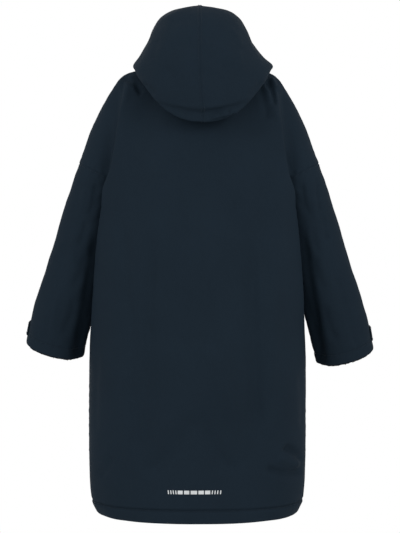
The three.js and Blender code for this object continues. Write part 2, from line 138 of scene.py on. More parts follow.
HOOD = Table("v faceX faceY faceZ sideX sideY sideZ backY backZ lean", [
    (0, 9, -84, -39, 86, 10, 11, 88, 1, 0),
    (0.045, 12, -88, -35, 106, 16, 16, 119, -25, -2),
    (0.09, 16, -91, -30, 128, 22, 15, 147, -68, -4),
    (0.18, 24, -95, -20, 160, 30, 5, 180, -137, -9),
    (0.25, 32, -99, -9, 163, 32, 13, 197, -112, -9),
    (0.36, 50, -106, 10, 148, 30, 30, 202, -56, -5),
    (0.48, 68, -112, 34, 134, 28, 50, 200, 0, -3),
    (0.6, 80, -114, 60, 121, 24, 76, 188, 48, -2),
    (0.71, 82, -112, 86, 108, 20, 102, 168, 86, -2),
    (0.81, 72, -107, 112, 92, 14, 125, 140, 116, -2),
    (0.9, 46, -101, 134, 62, 8, 142, 106, 136, -2),
    (1, 0, -96, 144, 0, 2, 151, 66, 149, -2),
])


def stack(x, y, z):
    return np.stack(np.broadcast_arrays(x, y, z), -1).astype(float)


def power(value):
    return np.maximum(value, 0) ** (2 / SQUARENESS)


def unit(vectors):
    return vectors / np.maximum(np.linalg.norm(vectors, axis=-1, keepdims=True), 1e-9)


def mix(a, b, t):
    t = np.asarray(t, float)
    return a + (b - a) * (t[..., None] if np.ndim(a) > np.ndim(t) else t)


def smooth_step(value, low, high):
    t = np.clip((value - low) / (high - low), 0, 1)
    return t * t * (3 - 2 * t)


def bell(value, width):
    """1 at no value, and down to nothing within about twice the width."""
    return np.exp(-((value / width) ** 2))


def wave(along, pitch, start=0.0):
    return np.sin(2 * math.pi * along / pitch + start)


def smooth_min(a, b, soften):
    blend = np.maximum(soften - np.abs(a - b), 0) / np.maximum(soften, 0.001)
    return np.minimum(a, b) - 0.25 * soften * blend * blend


def hollow_x(y, z):
    """The inner side of the hollow in the torso that a sleeve lies in."""
    drop = UNDERARM_Z - z
    off = (y - ARM_HOLLOW["y"] + ARM_HOLLOW["forward"] * drop) / ARM_HOLLOW["depth"]
    middle = ARM_HOLLOW["x"] + ARM_HOLLOW["outward"] * drop
    half = ARM_HOLLOW["half"] + ARM_HOLLOW["widen"] * drop
    inside = middle - half * np.sqrt(np.maximum(1 - off * off, 0))
    return np.where(np.abs(off) < 1, inside, middle + half * (np.abs(off) - 1))


def torso(turn, z, face, side):
    """A section of the torso. turn runs from 0 at the side seam to 1 at the centre."""
    angle = turn * math.pi / 2
    reach = TORSO("back" if face > 0 else "front", z) - SIDE_SEAM_Y
    y = SIDE_SEAM_Y + reach * power(np.sin(angle))
    wide = TORSO("half", z) * power(np.cos(angle))
    x = smooth_min(wide, hollow_x(y, z), ARM_HOLLOW["soften"] * np.cos(angle))
    return stack(side * x + TORSO("lean", z), y, z)


def armhole(k, face, side):
    """The armhole, a tilted ellipse. k runs from 0 at the underarm to 1 at the arm point."""
    under = torso(0.0, np.float64(UNDERARM_Z), face, side)
    top = stack(side * ARM_POINT[0], ARM_POINT[1], ARM_POINT[2])
    centre, angle = (under + top) / 2, k * math.pi
    depth = stack(0, face * ARMHOLE_DEPTH * np.sin(angle), 0)
    return centre - (top - centre) * np.cos(angle)[..., None] + depth


def hood_point(turn, v, side):
    """turn runs from 0 at the face edge through 0.5 at the side to 1 at the centre back."""
    front = turn < 0.5
    angle = np.abs(turn - 0.5) * math.pi
    sin, cos = power(np.sin(angle)), power(np.cos(angle))
    end_x = np.where(front, HOOD("faceX", v), 0)
    end_y = np.where(front, HOOD("faceY", v), HOOD("backY", v))
    end_z = np.where(front, HOOD("faceZ", v), HOOD("backZ", v))
    x = end_x + (HOOD("sideX", v) - end_x) * cos
    y = HOOD("sideY", v) + (end_y - HOOD("sideY", v)) * sin
    z = HOOD("sideZ", v) + (end_z - HOOD("sideZ", v)) * sin * sin
    return stack(side * x + HOOD("lean", v), y, z)


def top_edge(u, face, side):
    """Top edge of a body panel: the neck seam, and then the shoulder seam."""
    neck_end = 0.25
    half = 0.5 * np.minimum(u / neck_end, 1)
    turn = 1 - half if face > 0 else half
    neck = hood_point(turn, np.zeros_like(u), side)
    neck[..., 2] -= NECK_DROP_FRONT + (NECK_DROP_BACK - NECK_DROP_FRONT) * turn
    shoulder = stack(side * SHOULDER("x", u), SHOULDER("y", u), SHOULDER("z", u))
    return np.where((u < neck_end)[..., None], neck, shoulder)


def centre_line(k, face, side):
    rows = CENTRE_BACK if face > 0 else CENTRE_FRONT
    return stack(0 if face > 0 else side * ZIP_HALF_WIDTH, rows("y", k), rows("z", k))


def body_point(u, v, face, side):
    """u runs from the centre line to the side; v from -1 at the top through 0 to 1 at the hem."""
    spread = 1 - (1 - u) ** COLUMN_CROWDING
    row = UNDERARM_Z - UNDERARM_DIP * (1 - u**DIP_POWER)

    def low(z):
        point = torso(1 - spread, z, face, side)
        if face < 0:
            point[..., 0] += side * ZIP_HALF_WIDTH * (1 - spread)
        return point

    below = low(mix(row, float(HEM_Z), np.maximum(v, 0)))
    below[..., 2] += HEM_LIFT * np.maximum(v, 0) ** 4 * u**2
    k = np.clip(-v, 0, 1)
    ease = k * k * (3 - 2 * k)
    to_side = mix(u**SIDE_POWER, u * (2 - u), ease)
    ends = [
        mix(centre_line(at, face, side), armhole(at, face, side), to_side)
        for at in (k, np.zeros_like(k), np.ones_like(k))
    ]
    above = mix(low(row), top_edge(u, face, side), ease) + ends[0] - mix(ends[1], ends[2], ease)
    return np.where((v >= 0)[..., None], below, above)


def sleeve_point(turn, s, side):
    """turn runs round the sleeve from the underarm seam over the back; s to the cuff."""
    tilt, pitch = np.radians(SLEEVE("tilt", s)), np.radians(SLEEVE("pitch", s))
    hang = s * s if side < 0 else 0 * s
    across = -np.cos(2 * math.pi * turn) * SLEEVE("half", s)
    deep = np.sin(2 * math.pi * turn) * SLEEVE("depth", s)
    x = SLEEVE("x", s) + across * np.cos(tilt) + RIGHT_CUFF_OUT * hang
    y = SLEEVE("y", s) + deep * np.cos(pitch)
    z = SLEEVE("z", s) + across * np.sin(tilt) - deep * np.sin(pitch) - RIGHT_CUFF_DROP * hang
    point = stack(side * x, y, z)
    joined = np.where(
        (turn <= 0.5)[..., None], armhole(2 * turn, 1, side), armhole(2 - 2 * turn, -1, side)
    )
    return np.where((s <= 0)[..., None], joined, point)


# ------------------------------------------------------------------ creases, in mm
# Each is a soft line from (x0, z0) to (x1, z1) that bows sideways by bow: a trough where rise
# is negative and a ridge where it is not. skew makes one of its sides steeper.
# The columns are x0, z0, x1, z1, bow, width, rise and skew.
BACK_CREASES = [
    # where the arms leave the back, and its broad soft folds
    (194, -6, 230, -290, 2, 12, -14.5, -0.3),
    (-200, -8, -232, -294, -2, 12, -14.5, 0.3),
    (2, -190, -82, -850, 0, 46, 6, 0),
    (-118, -420, -136, -900, 0, 26, -6, 0),
    (104, -560, 128, -930, 0, 34, -5, 0),
]
FRONT_CREASES = [
    (192, -24, 226, -280, 2, 12, -12, -0.35),
    (-192, -24, -226, -280, -2, 12, -12, 0.35),
    (112, -260, 138, -880, 0, 42, 6, 0),
    (-104, -300, -146, -860, 0, 42, 6, 0),
]
BACK_DETAIL = [
    # where the sleeves turn in under the shoulders
    (178, 10, 219, -262, 1, 6, -4.6, 0.3),
    (164, -20, 188, -110, 3, 9, 3, 0),
    (-184, 6, -221, -262, -1, 6, -4.2, -0.3),
    (-164, -40, -190, -130, -4, 8, 3, 0),
    # the gathers beside the hood
    (188, -12, 134, -66, 8, 7, -6, 0.4),
    (170, -8, 150, -52, 3, 6, 4, 0),
    (-160, -16, -178, -92, 7, 6, -8, -0.4),
    (-150, -18, -166, -64, -4, 5, 4, 0),
    (-172, -14, -196, -44, -5, 6, 5, 0),
    (-140, -40, -160, -128, 4, 8, -4, 0),
    # down the back
    (7, -150, 6, -815, 2, 3.5, -1.7, 0),
    (-14, -640, -78, -830, 8, 22, 5, 0),
    (60, -190, 74, -430, 6, 26, -5, 0),
    (40, -300, 26, -720, -5, 18, -4.6, 0),
    (-6, -330, -92, -900, 4, 16, 4.6, 0.3),
    (-124, -340, -142, -880, -5, 15, -5.4, -0.3),
    (112, -330, 126, -800, 5, 15, -4.6, 0.3),
    (150, -500, 140, -940, -6, 18, -5, 0.3),
    (182, -330, 168, -660, 7, 16, -4.4, 0),
    (-60, -210, -98, -420, -8, 20, -4.4, 0),
    (-150, -250, -168, -560, -8, 16, -4.6, 0),
    (-176, -480, -160, -760, 8, 15, 4, 0),
    (9, -800, 128, -948, 12, 18, -6.5, -0.3),
    (9, -800, -94, -946, -12, 18, -6.5, 0.3),
    (24, -880, 6, -990, 0, 30, 4, 0),
    (90, -420, 102, -640, 4, 13, 3.6, 0),
    # pinched at the sides above the hem
    (-192, -884, -248, -926, 5, 8, -10, 0.3),
    (-148, -929, -250, -950, -5, 8, -9, 0.3),
    (-176, -910, -240, -937, 3, 7, 5, 0),
    (236, -962, 198, -902, -6, 9, -3.6, 0.4),
    (-236, -700, -244, -860, 3, 9, -3, 0),
    (238, -640, 244, -880, -3, 10, -3, 0),
]
FRONT_DETAIL = [
    (176, -22, 206, -122, 5, 6, -3.2, 0.3),
    (202, -96, 218, -226, 2, 7, -2.6, 0.3),
    (-176, -22, -204, -122, -5, 6, -3.2, -0.3),
    (-202, -98, -220, -226, -2, 7, -2.6, -0.3),
    (150, -16, 104, -90, 6, 8, -5, 0.4),
    (-152, -18, -108, -94, -6, 8, -5, -0.4),
    (96, -60, 40, -170, 8, 12, -3.4, 0),
    (-92, -64, -44, -190, -8, 12, -3.4, 0),
    (14, -120, 70, -190, 4, 8, -3, 0.3),
    (-14, -110, -76, -176, -4, 8, -3, -0.3),
    (78, -190, 60, -470, -8, 20, -3.4, 0),
    (-70, -230, -52, -520, 8, 18, -3.2, 0),
    (176, -330, 186, -700, 8, 18, -4, 0.3),
    (-180, -300, -170, -640, -8, 18, -3.6, -0.3),
    (60, -520, 84, -900, 6, 22, -3.6, 0),
    (-84, -560, -62, -940, 8, 24, -4, 0),
    (156, -640, 170, -960, -6, 14, 3, 0),
    (-196, -600, -176, -930, 6, 15, 3, 0),
    (14, -720, 92, -900, 10, 14, -3.4, -0.3),
    (-14, -640, -74, -800, -8, 12, -3, 0.3),
    (236, -960, 190, -890, -6, 8, -6, 0.4),
    (-238, -958, -196, -896, 6, 8, -6, -0.4),
    (150, -950, 214, -926, 6, 8, 4, 0),
    (-140, -950, -206, -922, -6, 8, 4, 0),
]
SLEEVE_CREASES = [
    # for the wearer's left, on the back and the front of the sleeve
    (246, -262, 262, -352, 5, 8, -4.5, 0.3),
    (268, -276, 278, -350, -4, 7, 3.4, 0),
    (268, -352, 286, -420, 4, 8, -4, 0.3),
    (288, -372, 302, -470, -5, 8, 3, 0),
    (270, -430, 300, -520, 6, 11, -4.5, 0),
    (318, -404, 330, -520, -4, 10, -2.6, 0),
    (296, -540, 330, -640, 5, 11, -4, 0.2),
    (330, -520, 356, -632, -4, 9, 2.6, 0),
    (352, -560, 378, -650, 4, 8, -2.6, 0),
    (238, -370, 298, -720, 3, 19, -14, 0.3),
]
RIGHT_SLEEVE_CREASES = [
    # mirrored, so that x counts away from the body here too
    (244, -260, 262, -350, 5, 8, -4.5, 0.3),
    (266, -300, 276, -362, -4, 7, 3, 0),
    (282, -262, 290, -340, 4, 6, -5, 0.3),
    (274, -268, 283, -334, 3, 5, 3.6, 0),
    (292, -344, 306, -414, -4, 6, -5, -0.3),
    (300, -340, 314, -402, 3, 5, 3, 0),
    (268, -372, 288, -440, 4, 9, -3.6, 0),
    (272, -440, 304, -530, 6, 11, -4.5, 0),
    (326, -486, 346, -572, -4, 9, -4, 0.2),
    (298, -556, 330, -650, 5, 11, -4, 0.2),
    (356, -570, 380, -664, 4, 8, -2.6, 0),
    (238, -350, 300, -740, 3, 19, -15, 0.3),
]
UNDERARM_CREASES = [
    # fanning out from the underarm, on both faces of the sleeve
    (208, -262, 262, -290, 4, 7, -1.6, 0.3),
    (210, -268, 256, -334, 4, 8, -1.8, 0.3),
    (214, -300, 250, -372, 4, 9, -1.6, 0),
]
HOOD_CREASES = [
    # the rolled rim, at the back
    (118, -90, -12, -119, -3, 5, -7, -0.3),
    (64, -115, -58, -115, -4, 6.5, -7.5, -0.3),
    (2, -119, -118, -90, -3, 5, -7, -0.3),
    (86, -114, 30, -134, -2, 4.5, 3, 0.3),
    (-16, -130, -96, -108, -4, 4.2, 7.5, 0.3),
    (56, -122, -44, -124, -2, 6.5, -7, 0),
    (-44, -116, -56, -133, 1, 3.2, -5, 0),
    (-68, -110, -80, -126, 1, 3.2, -5, 0),
    (32, -117, 25, -133, 0, 3, -2.4, 0),
    (66, -110, 60, -128, 1, 3, -2.6, 0),
    (92, -104, 82, -120, 0, 3.4, -3, 0),
    (20, -102, -60, -105, 2, 5, 2.2, 0),
    (128, -40, 96, -74, -5, 7, -4, 0),
    (-146, -38, -110, -78, 5, 7, -4, 0),
    # higher up, soft dents
    (70, 20, 10, 44, 8, 16, -3.2, 0),
    (20, 66, -54, 40, 8, 14, -3, 0.2),
    (-20, 16, -84, -20, -8, 16, -3.4, 0),
    (86, -14, 46, -58, 6, 14, -3, 0),
    (12, -30, -66, -50, 8, 13, -2.6, 0),
    (-88, 30, -104, -30, -6, 10, 3, 0),
    (50, -10, -20, 4, 6, 10, 2.4, 0),
    (70, 86, 10, 104, 6, 13, -2.6, 0),
    (-70, 84, -96, 30, 5, 9, 2.6, 0.3),
    (92, 60, 104, 4, -5, 10, -2.6, 0),
]
HOOD_SIDE_CREASES = [
    # on both sides, seen from the side, so that x0 and x1 are y here
    (-60, 10, 40, -20, 6, 9, -3.4, 0),
    (-40, 50, 60, 10, 8, 13, -3.2, 0),
    (-84, 84, 10, 70, -6, 12, -2.6, 0),
    (20, 90, 110, 50, 8, 14, -2.8, 0),
    (30, 30, 120, -40, 8, 12, 2.8, 0.2),
]
# A crease's own height wavers along it: rate, phase and size of each wave
UNEVEN = [(0.71, 0.3, 1.1), (1.9, 1.3, 0.6), (3.7, 2.2, 0.3)]
HILLS_UPRIGHT = 0.34  # the body's soft hills are that much narrower than tall


def creases(x, z, rows):
    """How far all the creases of a table lift the cloth at places seen flat from x and z."""
    rise = np.zeros_like(x)
    for order, (x0, z0, x1, z1, bow, width, height, skew) in enumerate(rows):
        dx, dz = x1 - x0, z1 - z0
        length = math.hypot(dx, dz)
        t = ((x - x0) * dx + (z - z0) * dz) / length**2
        off = ((x - x0) * dz - (z - z0) * dx) / length - bow * 4 * t * (1 - t)
        fade = smooth_step(t, 0, 0.2) * (1 - smooth_step(t, 0.8, 1))
        wide = width * (1 + skew * np.tanh(off / width))
        waver = 1
        if bow:
            waver += 0.12 * sum(
                size * np.sin(2 * math.pi * rate * t + phase + order)
                for rate, phase, size in UNEVEN
            )
        rise += height * fade * waver * bell(off, wide)
    return rise


def unevenness(points, size, height):
    """Cloth that is nowhere quite smooth: soft hills of about that size, in mm."""
    flat = points.reshape(-1, 3) / size
    lift = np.array([noise.noise(Vector(p)) for p in flat])
    return height * lift.reshape(points.shape[:-1])


# ------------------------------------------------------------------ cloth
def crowded(count, start=(), end=()):
    """Grid positions from 0 to 1, with extra ones at the given distances from either end."""
    inside = [k / count for k in range(count + 1)]
    return np.array(sorted({*inside, *start, *(1 - distance for distance in end)}))


class Cloth:
    """A piece of cloth as a grid of points on its outer face, in mm."""

    def __init__(self, a, b, point, wraps=False, flip=False):
        self.wraps, self.flip, self.shared, self.seamed = wraps, flip, None, None
        self.a, self.b = np.meshgrid(a, b, indexing="ij")
        self.points = point(self.a, self.b)
        self.find_normals()

    def cells(self):
        """The normal of each cell of the grid, as long as twice its area."""
        p = self.points
        return np.cross(p[1:, 1:] - p[:-1, :-1], p[:-1, 1:] - p[1:, :-1])

    def find_normals(self):
        quads = self.cells()
        normals = np.zeros_like(self.points)
        for di, dj in ((0, 0), (0, 1), (1, 0), (1, 1)):
            normals[di : di + len(quads), dj : dj + quads.shape[1]] += quads
        if self.wraps:
            normals[0] += normals[-1]
            normals[-1] = normals[0]
        self.normals = unit(normals) * (-1 if self.flip else 1)
        if self.shared is not None:
            self.normals[self.edge_mask()] = self.shared

    def edge_mask(self):
        mask = np.zeros(self.a.shape, bool)
        mask[:, [0, -1]] = True
        if not self.wraps:
            mask[[0, -1], :] = True
        return mask

    def lift(self, rise, evened=0):
        """Moves the cloth out along its normals, first evened out over that many cells."""
        if self.wraps:
            rise[-1] = rise[0]
        way = self.normals
        for _ in range(evened):
            way = way.copy()
            way[1:-1] = (way[:-2] + 2 * way[1:-1] + way[2:]) / 4
            way[:, 1:-1] = (way[:, :-2] + 2 * way[:, 1:-1] + way[:, 2:]) / 4
        self.points = self.points + unit(way) * rise[..., None]
        self.find_normals()

    def lengths(self):
        """Distances in m along the grid: from the first column, and from the first row."""
        along_a = np.linalg.norm(np.diff(self.points, axis=0), axis=-1)
        along_b = np.linalg.norm(np.diff(self.points, axis=1), axis=-1)
        across = np.vstack([np.zeros(len(self.b[0])), np.cumsum(along_a, 0)])
        down = np.hstack([np.zeros((len(self.a), 1)), np.cumsum(along_b, 1)])
        return across * MM, down * MM

    def area(self):
        return np.linalg.norm(self.cells(), axis=-1).sum() / 2 * MM**2

    def line(self, a, b):
        """Points and normals on the face along arrays of grid positions."""
        at_a = np.interp(a, self.a[:, 0], np.arange(len(self.a)))
        at_b = np.interp(b, self.b[0], np.arange(len(self.b[0])))
        i = np.minimum(at_a.astype(int), len(self.a) - 2)
        j = np.minimum(at_b.astype(int), len(self.b[0]) - 2)
        u, v = (at_a - i)[:, None], (at_b - j)[:, None]
        out = []
        for grid in (self.points, self.normals):
            first = grid[i, j] * (1 - u) + grid[i + 1, j] * u
            out.append(first * (1 - v) + (grid[i, j + 1] * (1 - u) + grid[i + 1, j + 1] * u) * v)
        return out

    def build(self, name, wall, finishes, inner_rise=None):
        """The closed mesh: outer face, inner face and rim. finishes are for out and in."""
        outer = self.points
        inner = outer - self.normals * wall
        if inner_rise is not None:
            inner = inner - self.normals * inner_rise[..., None]
        columns, rows = outer.shape[:2]
        used = columns - 1 if self.wraps else columns
        across, down = self.lengths()
        places = np.concatenate([outer[:used].reshape(-1, 3), inner[:used].reshape(-1, 3)])
        total = used * rows
        i, j = np.indices((columns - 1, rows - 1)).reshape(2, -1)

        def corners(step_a, step_b, layer):
            return ((i + step_a) % used) * rows + j + step_b + layer * total

        ring, faces, uvs = [(0, 0), (1, 0), (1, 1), (0, 1)], [], []
        lengths = np.stack([across, down], -1)
        for layer, order in enumerate((ring, ring[::-1])):
            faces.append(np.stack([corners(p, q, layer) for p, q in order], 1))
            uvs.append(np.stack([lengths[i + p, j + q] for p, q in order], 1))
        k = np.arange(columns - 1)
        here, there, end = (k % used) * rows, ((k + 1) % used) * rows, rows - 1
        edges = [(there, here), (here + end, there + end)]
        if not self.wraps:
            k, end = np.arange(rows - 1), (columns - 1) * rows
            edges += [(k, k + 1), (end + k + 1, end + k)]
        rim = np.concatenate([np.stack([p, q, total + q, total + p], 1) for p, q in edges])
        smooth = np.ones(2 * len(i) + len(rim), bool)
        if self.seamed is not None:
            smooth[2 * len(i) :] = ~self.seamed[:used].ravel()[rim % total].all(1)
        faces.append(rim)
        uvs.append(np.zeros((len(rim), 4, 2)))
        inside = np.concatenate([np.zeros(len(i)), np.ones(len(i)), np.zeros(len(rim))]).astype(int)
        faces, uvs = np.concatenate(faces), np.concatenate(uvs)
        if self.flip:
            faces, uvs = faces[:, ::-1], uvs[:, ::-1]
        piece = new_piece(name, (places * MM).tolist(), faces.tolist(), finishes, smooth)
        piece.data.uv_layers.new(name="cloth").data.foreach_set("uv", uvs.ravel())
        piece.data.polygons.foreach_set("material_index", inside)
        return piece


def new_piece(name, corners, faces, finishes, smooth=None):
    """A mesh object with those finishes. smooth holds one flag for each face."""
    mesh = bpy.data.meshes.new(name)
    mesh.from_pydata(corners, [], faces)
    for finish in finishes:
        mesh.materials.append(finish)
    if smooth is not None:
        mesh.polygons.foreach_set("use_smooth", smooth)
    mesh.update()
    piece = bpy.data.objects.new(name, mesh)
    bpy.context.scene.collection.objects.link(piece)
    return piece


def groove(distance, depth, width):
    """A seam: the cloth dips to it over a few mm."""
    return -depth * bell(distance, width)


# ------------------------------------------------------------------ finishes
def maths(operation, way=1):
    """A method of Value that makes one maths node. way is -1 where self comes second."""
    def method(*values):
        values = dict(enumerate(values[::way]))
        finish = next(value.finish for value in values.values() if isinstance(value, Value))
        return finish.node("ShaderNodeMath", {"operation": operation}, values)

    return method


class Value:
    """A socket inside a finish, so that its maths reads as ordinary expressions."""

    def __init__(self, finish, socket):
        self.finish, self.socket = finish, socket

    __add__ = __radd__ = maths("ADD")
    __mul__ = __rmul__ = maths("MULTIPLY")
    __sub__, __rsub__ = maths("SUBTRACT"), maths("SUBTRACT", -1)
    sine, size = maths("SINE"), maths("ABSOLUTE")

    def between(self, low, high):
        """0 below low, 1 above high, and smooth in between."""
        return self.finish.node(
            "ShaderNodeMapRange", {"interpolation_type": "SMOOTHSTEP"},
            {"Value": self, "From Min": low, "From Max": high},
        )


class Finish:
    """A material built from nodes, ending in one Principled shader."""

    def __init__(self, name):
        self.material = bpy.data.materials.new(name)
        self.material.use_nodes = True
        self.tree = self.material.node_tree
        self.tree.nodes.clear()

    def node(self, kind, settings=None, values=None, output=0):
        made = self.tree.nodes.new(kind)
        for name, value in (settings or {}).items():
            if name == "stops":
                for stop, (place, colour) in zip(made.color_ramp.elements, value):
                    stop.position, stop.color = place, colour
            else:
                setattr(made, name, value)
        for name, value in (values or {}).items():
            if isinstance(value, Value):
                self.tree.links.new(value.socket, made.inputs[name])
            else:
                made.inputs[name].default_value = value
        return Value(self, made.outputs[output]) if made.outputs else None

    def shades(self, colour, low, high, mask):
        """The colour times low where the mask is 0, and times high where it is 1."""
        stops = [(place, (*shade(colour, times), 1)) for place, times in ((0, low), (1, high))]
        return self.node("ShaderNodeValToRGB", {"stops": stops}, {"Fac": mask})

    def place(self):
        """Position on the object, in m."""
        return self.node("ShaderNodeTexCoord", output=3)

    def cloth(self):
        """Distances across and along a piece of cloth, in m, as two numbers."""
        flat = self.node("ShaderNodeUVMap", {"uv_map": "cloth"})
        return [self.node("ShaderNodeSeparateXYZ", None, {"Vector": flat}, k) for k in (0, 1)]

    def mottle(self, scale, detail=2.0, rough=0.5):
        values = {"Vector": self.place(), "Scale": scale, "Detail": detail, "Roughness": rough}
        return self.node("ShaderNodeTexNoise", None, values)

    def bump(self, height, distance, strength=1.0, normal=None):
        values = {"Height": height, "Distance": distance, "Strength": strength}
        if normal:
            values["Normal"] = normal
        return self.node("ShaderNodeBump", None, values)

    def finished(self, **sockets):
        values = {name.replace("_", " "): value for name, value in sockets.items()}
        shader = self.node("ShaderNodeBsdfPrincipled", None, values)
        self.node("ShaderNodeOutputMaterial", None, {"Surface": shader})
        return self.material


def shade(colour, factor):
    return tuple(min(channel * factor, 1) for channel in colour)


def shell_finish(name, colour):
    """Matte waterproof shell: a close plain weave with a few slubs, and a soft coated sheen."""
    finish = Finish(name)
    across, along = finish.cloth()
    turn = 2 * math.pi / THREAD
    weave = (across * turn).sine().size() * (along * turn).sine().size()
    slub = finish.mottle(420, 3)
    patch = finish.mottle(7, 3)
    tone = patch.between(0.2, 0.85) * 0.5 + slub.between(0.35, 0.7) * 0.5
    crumple = finish.mottle(46, 4, 0.55)
    relief = finish.bump(crumple, 0.0016, 0.32)
    relief = finish.bump(weave + slub * 0.5, 0.00012, 0.35, relief)
    return finish.finished(
        Base_Color=finish.shades(colour, 0.89, 1.11, tone),
        Roughness=0.74 + patch * 0.12 - weave * 0.03,
        Specular_IOR_Level=0.025,
        Sheen_Weight=0.015,
        Sheen_Roughness=0.42,
        Sheen_Tint=(*shade(colour, 8), 1),
        Normal=relief,
    )


def fleece_finish(name, colour):
    """Deep pile fleece, clumped into short curls, with painted shade between the curls."""
    finish = Finish(name)
    curls = finish.node(
        "ShaderNodeTexVoronoi", {"feature": "SMOOTH_F1"},
        {"Vector": finish.place(), "Scale": 230.0, "Smoothness": 0.6, "Randomness": 1.0},
    )
    fibre = finish.mottle(900, 3, 0.7)
    clump = finish.mottle(60, 2)
    # lighter on the curls and darker between them: painted shade, with random fibre tone
    mask = (1 - curls * 1.3) * 0.6 + fibre * 0.4
    relief = finish.bump(mask + clump * 0.8, 0.0028, 0.8)
    return finish.finished(
        # the curl mask paints shade into the hollows between curls
        Base_Color=finish.shades(colour, 0.55, 1.6, mask),
        Roughness=0.9 + fibre * 0.1,
        Specular_IOR_Level=0.03,
        Sheen_Weight=0.03,
        Sheen_Roughness=0.5,
        Normal=relief,
    )


def tape_finish(name, colour):
    """Woven zip tape in a fine herringbone, with painted shade in its rib troughs."""
    finish = Finish(name)
    across, along = finish.cloth()
    turn = 2 * math.pi / (2.2 * THREAD)
    rib_relief_and_shade = ((across.size() - along) * turn).sine().size()
    grain = finish.mottle(700, 2)
    return finish.finished(
        # lighter on the ribs and darker in their troughs: painted shade, with random grain tone
        Base_Color=finish.shades(colour, 0.75, 1.3, rib_relief_and_shade * 0.6 + grain * 0.4),
        Roughness=0.78 + grain * 0.1,
        Specular_IOR_Level=0.04,
        Normal=finish.bump(rib_relief_and_shade + grain * 0.3, 0.0002, 0.6),
    )


def thread_finish(name, colour):
    """Twisted sewing thread."""
    finish = Finish(name)
    twist = finish.mottle(2400, 1)
    return finish.finished(
        Base_Color=finish.shades(colour, 0.8, 1.5, twist),
        Roughness=0.5 + twist * 0.2,
        Normal=finish.bump(twist, 0.0001, 0.7),
    )


def tooth_finish(name, colour):
    """Moulded plastic teeth with a fine texture, rubbed smoother on their crowns."""
    finish = Finish(name)
    grain = finish.mottle(1500, 2)
    rub = finish.mottle(120, 2)
    return finish.finished(
        Base_Color=finish.shades(colour, 0.85, 1.35, rub),
        Roughness=0.42 + grain * 0.18 - rub * 0.06,
        Specular_IOR_Level=0.1,
        Normal=finish.bump(grain, 0.00008, 0.5),
    )


def metal_finish(name, colour):
    """Dark satin coating over cast metal, a little brighter where it is handled."""
    finish = Finish(name)
    cast = finish.mottle(900, 3, 0.6)
    worn = finish.mottle(160, 3).between(0.5, 0.72)
    return finish.finished(
        Base_Color=finish.shades(colour, 1, 2.6, worn),
        Metallic=0.75 + worn * 0.2,
        Roughness=0.36 + cast * 0.14 - worn * 0.08,
        Normal=finish.bump(cast, 0.00006, 0.5),
    )


def reflective_finish(name, colour):
    """Silver reflective transfer: tiny glass beads in a pale film."""
    finish = Finish(name)
    beads = finish.node(
        "ShaderNodeTexVoronoi", {"feature": "F1"}, {"Vector": finish.place(), "Scale": 2600.0}
    )
    cloud = finish.mottle(90, 2)
    return finish.finished(
        Base_Color=finish.shades(colour, 0.86, 1.08, cloud * 0.6 + beads * 0.4),
        Roughness=0.34 + beads * 0.2,
        Metallic=0.15,
        Specular_IOR_Level=0.6,
        Normal=finish.bump(beads, 0.00005, 0.5),
    )


def floor_finish(name, colour):
    """Pale matte floor, hardly mottled."""
    finish = Finish(name)
    grain = finish.mottle(3, 3)
    return finish.finished(
        Base_Color=finish.shades(colour, 0.985, 1, grain),
        Roughness=0.75 + grain * 0.1,
    )


# ------------------------------------------------------------------ making pieces
CLOTHS, FINISHES = {}, {}


# How each finish is made, the material's name and the colour it takes
MAKERS = {
    "shell": (shell_finish, "shell_cloth", "shell_colour"),
    "fleece": (fleece_finish, "fleece", "fleece_colour"),
    "tape": (tape_finish, "zip_tape_weave", "tape_colour"),
    "thread": (thread_finish, "sewing_thread", "thread_colour"),
    "teeth": (tooth_finish, "zip_teeth_plastic", "tape_colour"),
    "metal": (metal_finish, "dark_satin_metal", "metal_colour"),
    "reflective": (reflective_finish, "reflective_film", "reflective_colour"),
    "floor": (floor_finish, "pale_floor", "floor_colour"),
}


def finish_for(name):
    """The finish of that name, built when it is first asked for."""
    if name not in FINISHES:
        maker, material, colour = MAKERS[name]
        scene = bpy.context.scene
        group = scene.robe_stage if name == "floor" else scene.robe
        FINISHES[name] = maker(material, getattr(group, colour))
    return FINISHES[name]


def settle(piece, replaces=()):
    """Puts a finished piece on the robe, and hides the solids that it stands for."""
    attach(piece, "robe")
    if replaces:
        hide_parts(*replaces)


def hang_cloth(name, cloth, replaces, wall, finishes="shell fleece", inner_rise=None):
    """Builds a cloth, and keeps its grid for what lies on it."""
    CLOTHS[name] = cloth
    finishes = [finish_for(finish) for finish in finishes.split()]
    piece = cloth.build(name, wall / MM, finishes, inner_rise)
    settle(piece, replaces)
    across, down = cloth.lengths()
    float(cloth.area())


def start_primitive(adder, **options):
    """Adds one primitive with nothing else selected, in edit mode with all of it selected."""
    bpy.ops.object.select_all(action="DESELECT")
    adder(**options)
    bpy.ops.object.mode_set(mode="EDIT")
    bpy.ops.mesh.select_all(action="SELECT")


def end_template():
    """Leaves edit mode and takes the shape away as corners and faces, to be copied."""
    bpy.ops.object.mode_set(mode="OBJECT")
    piece = bpy.context.active_object
    mesh = piece.data
    corners = np.array([vertex.co[:] for vertex in mesh.vertices])
    faces = [list(face.vertices) for face in mesh.polygons]
    bpy.data.objects.remove(piece)
    bpy.data.meshes.remove(mesh)
    return corners, faces


def end_piece(name):
    """Leaves edit mode with the piece's place in its mesh."""
    bpy.ops.object.mode_set(mode="OBJECT")
    bpy.ops.object.transform_apply(location=True, rotation=True, scale=True)
    bpy.ops.object.shade_smooth_by_angle(angle=math.radians(40))
    piece = bpy.context.active_object
    piece.name = piece.data.name = name
    piece.select_set(False)
    return piece


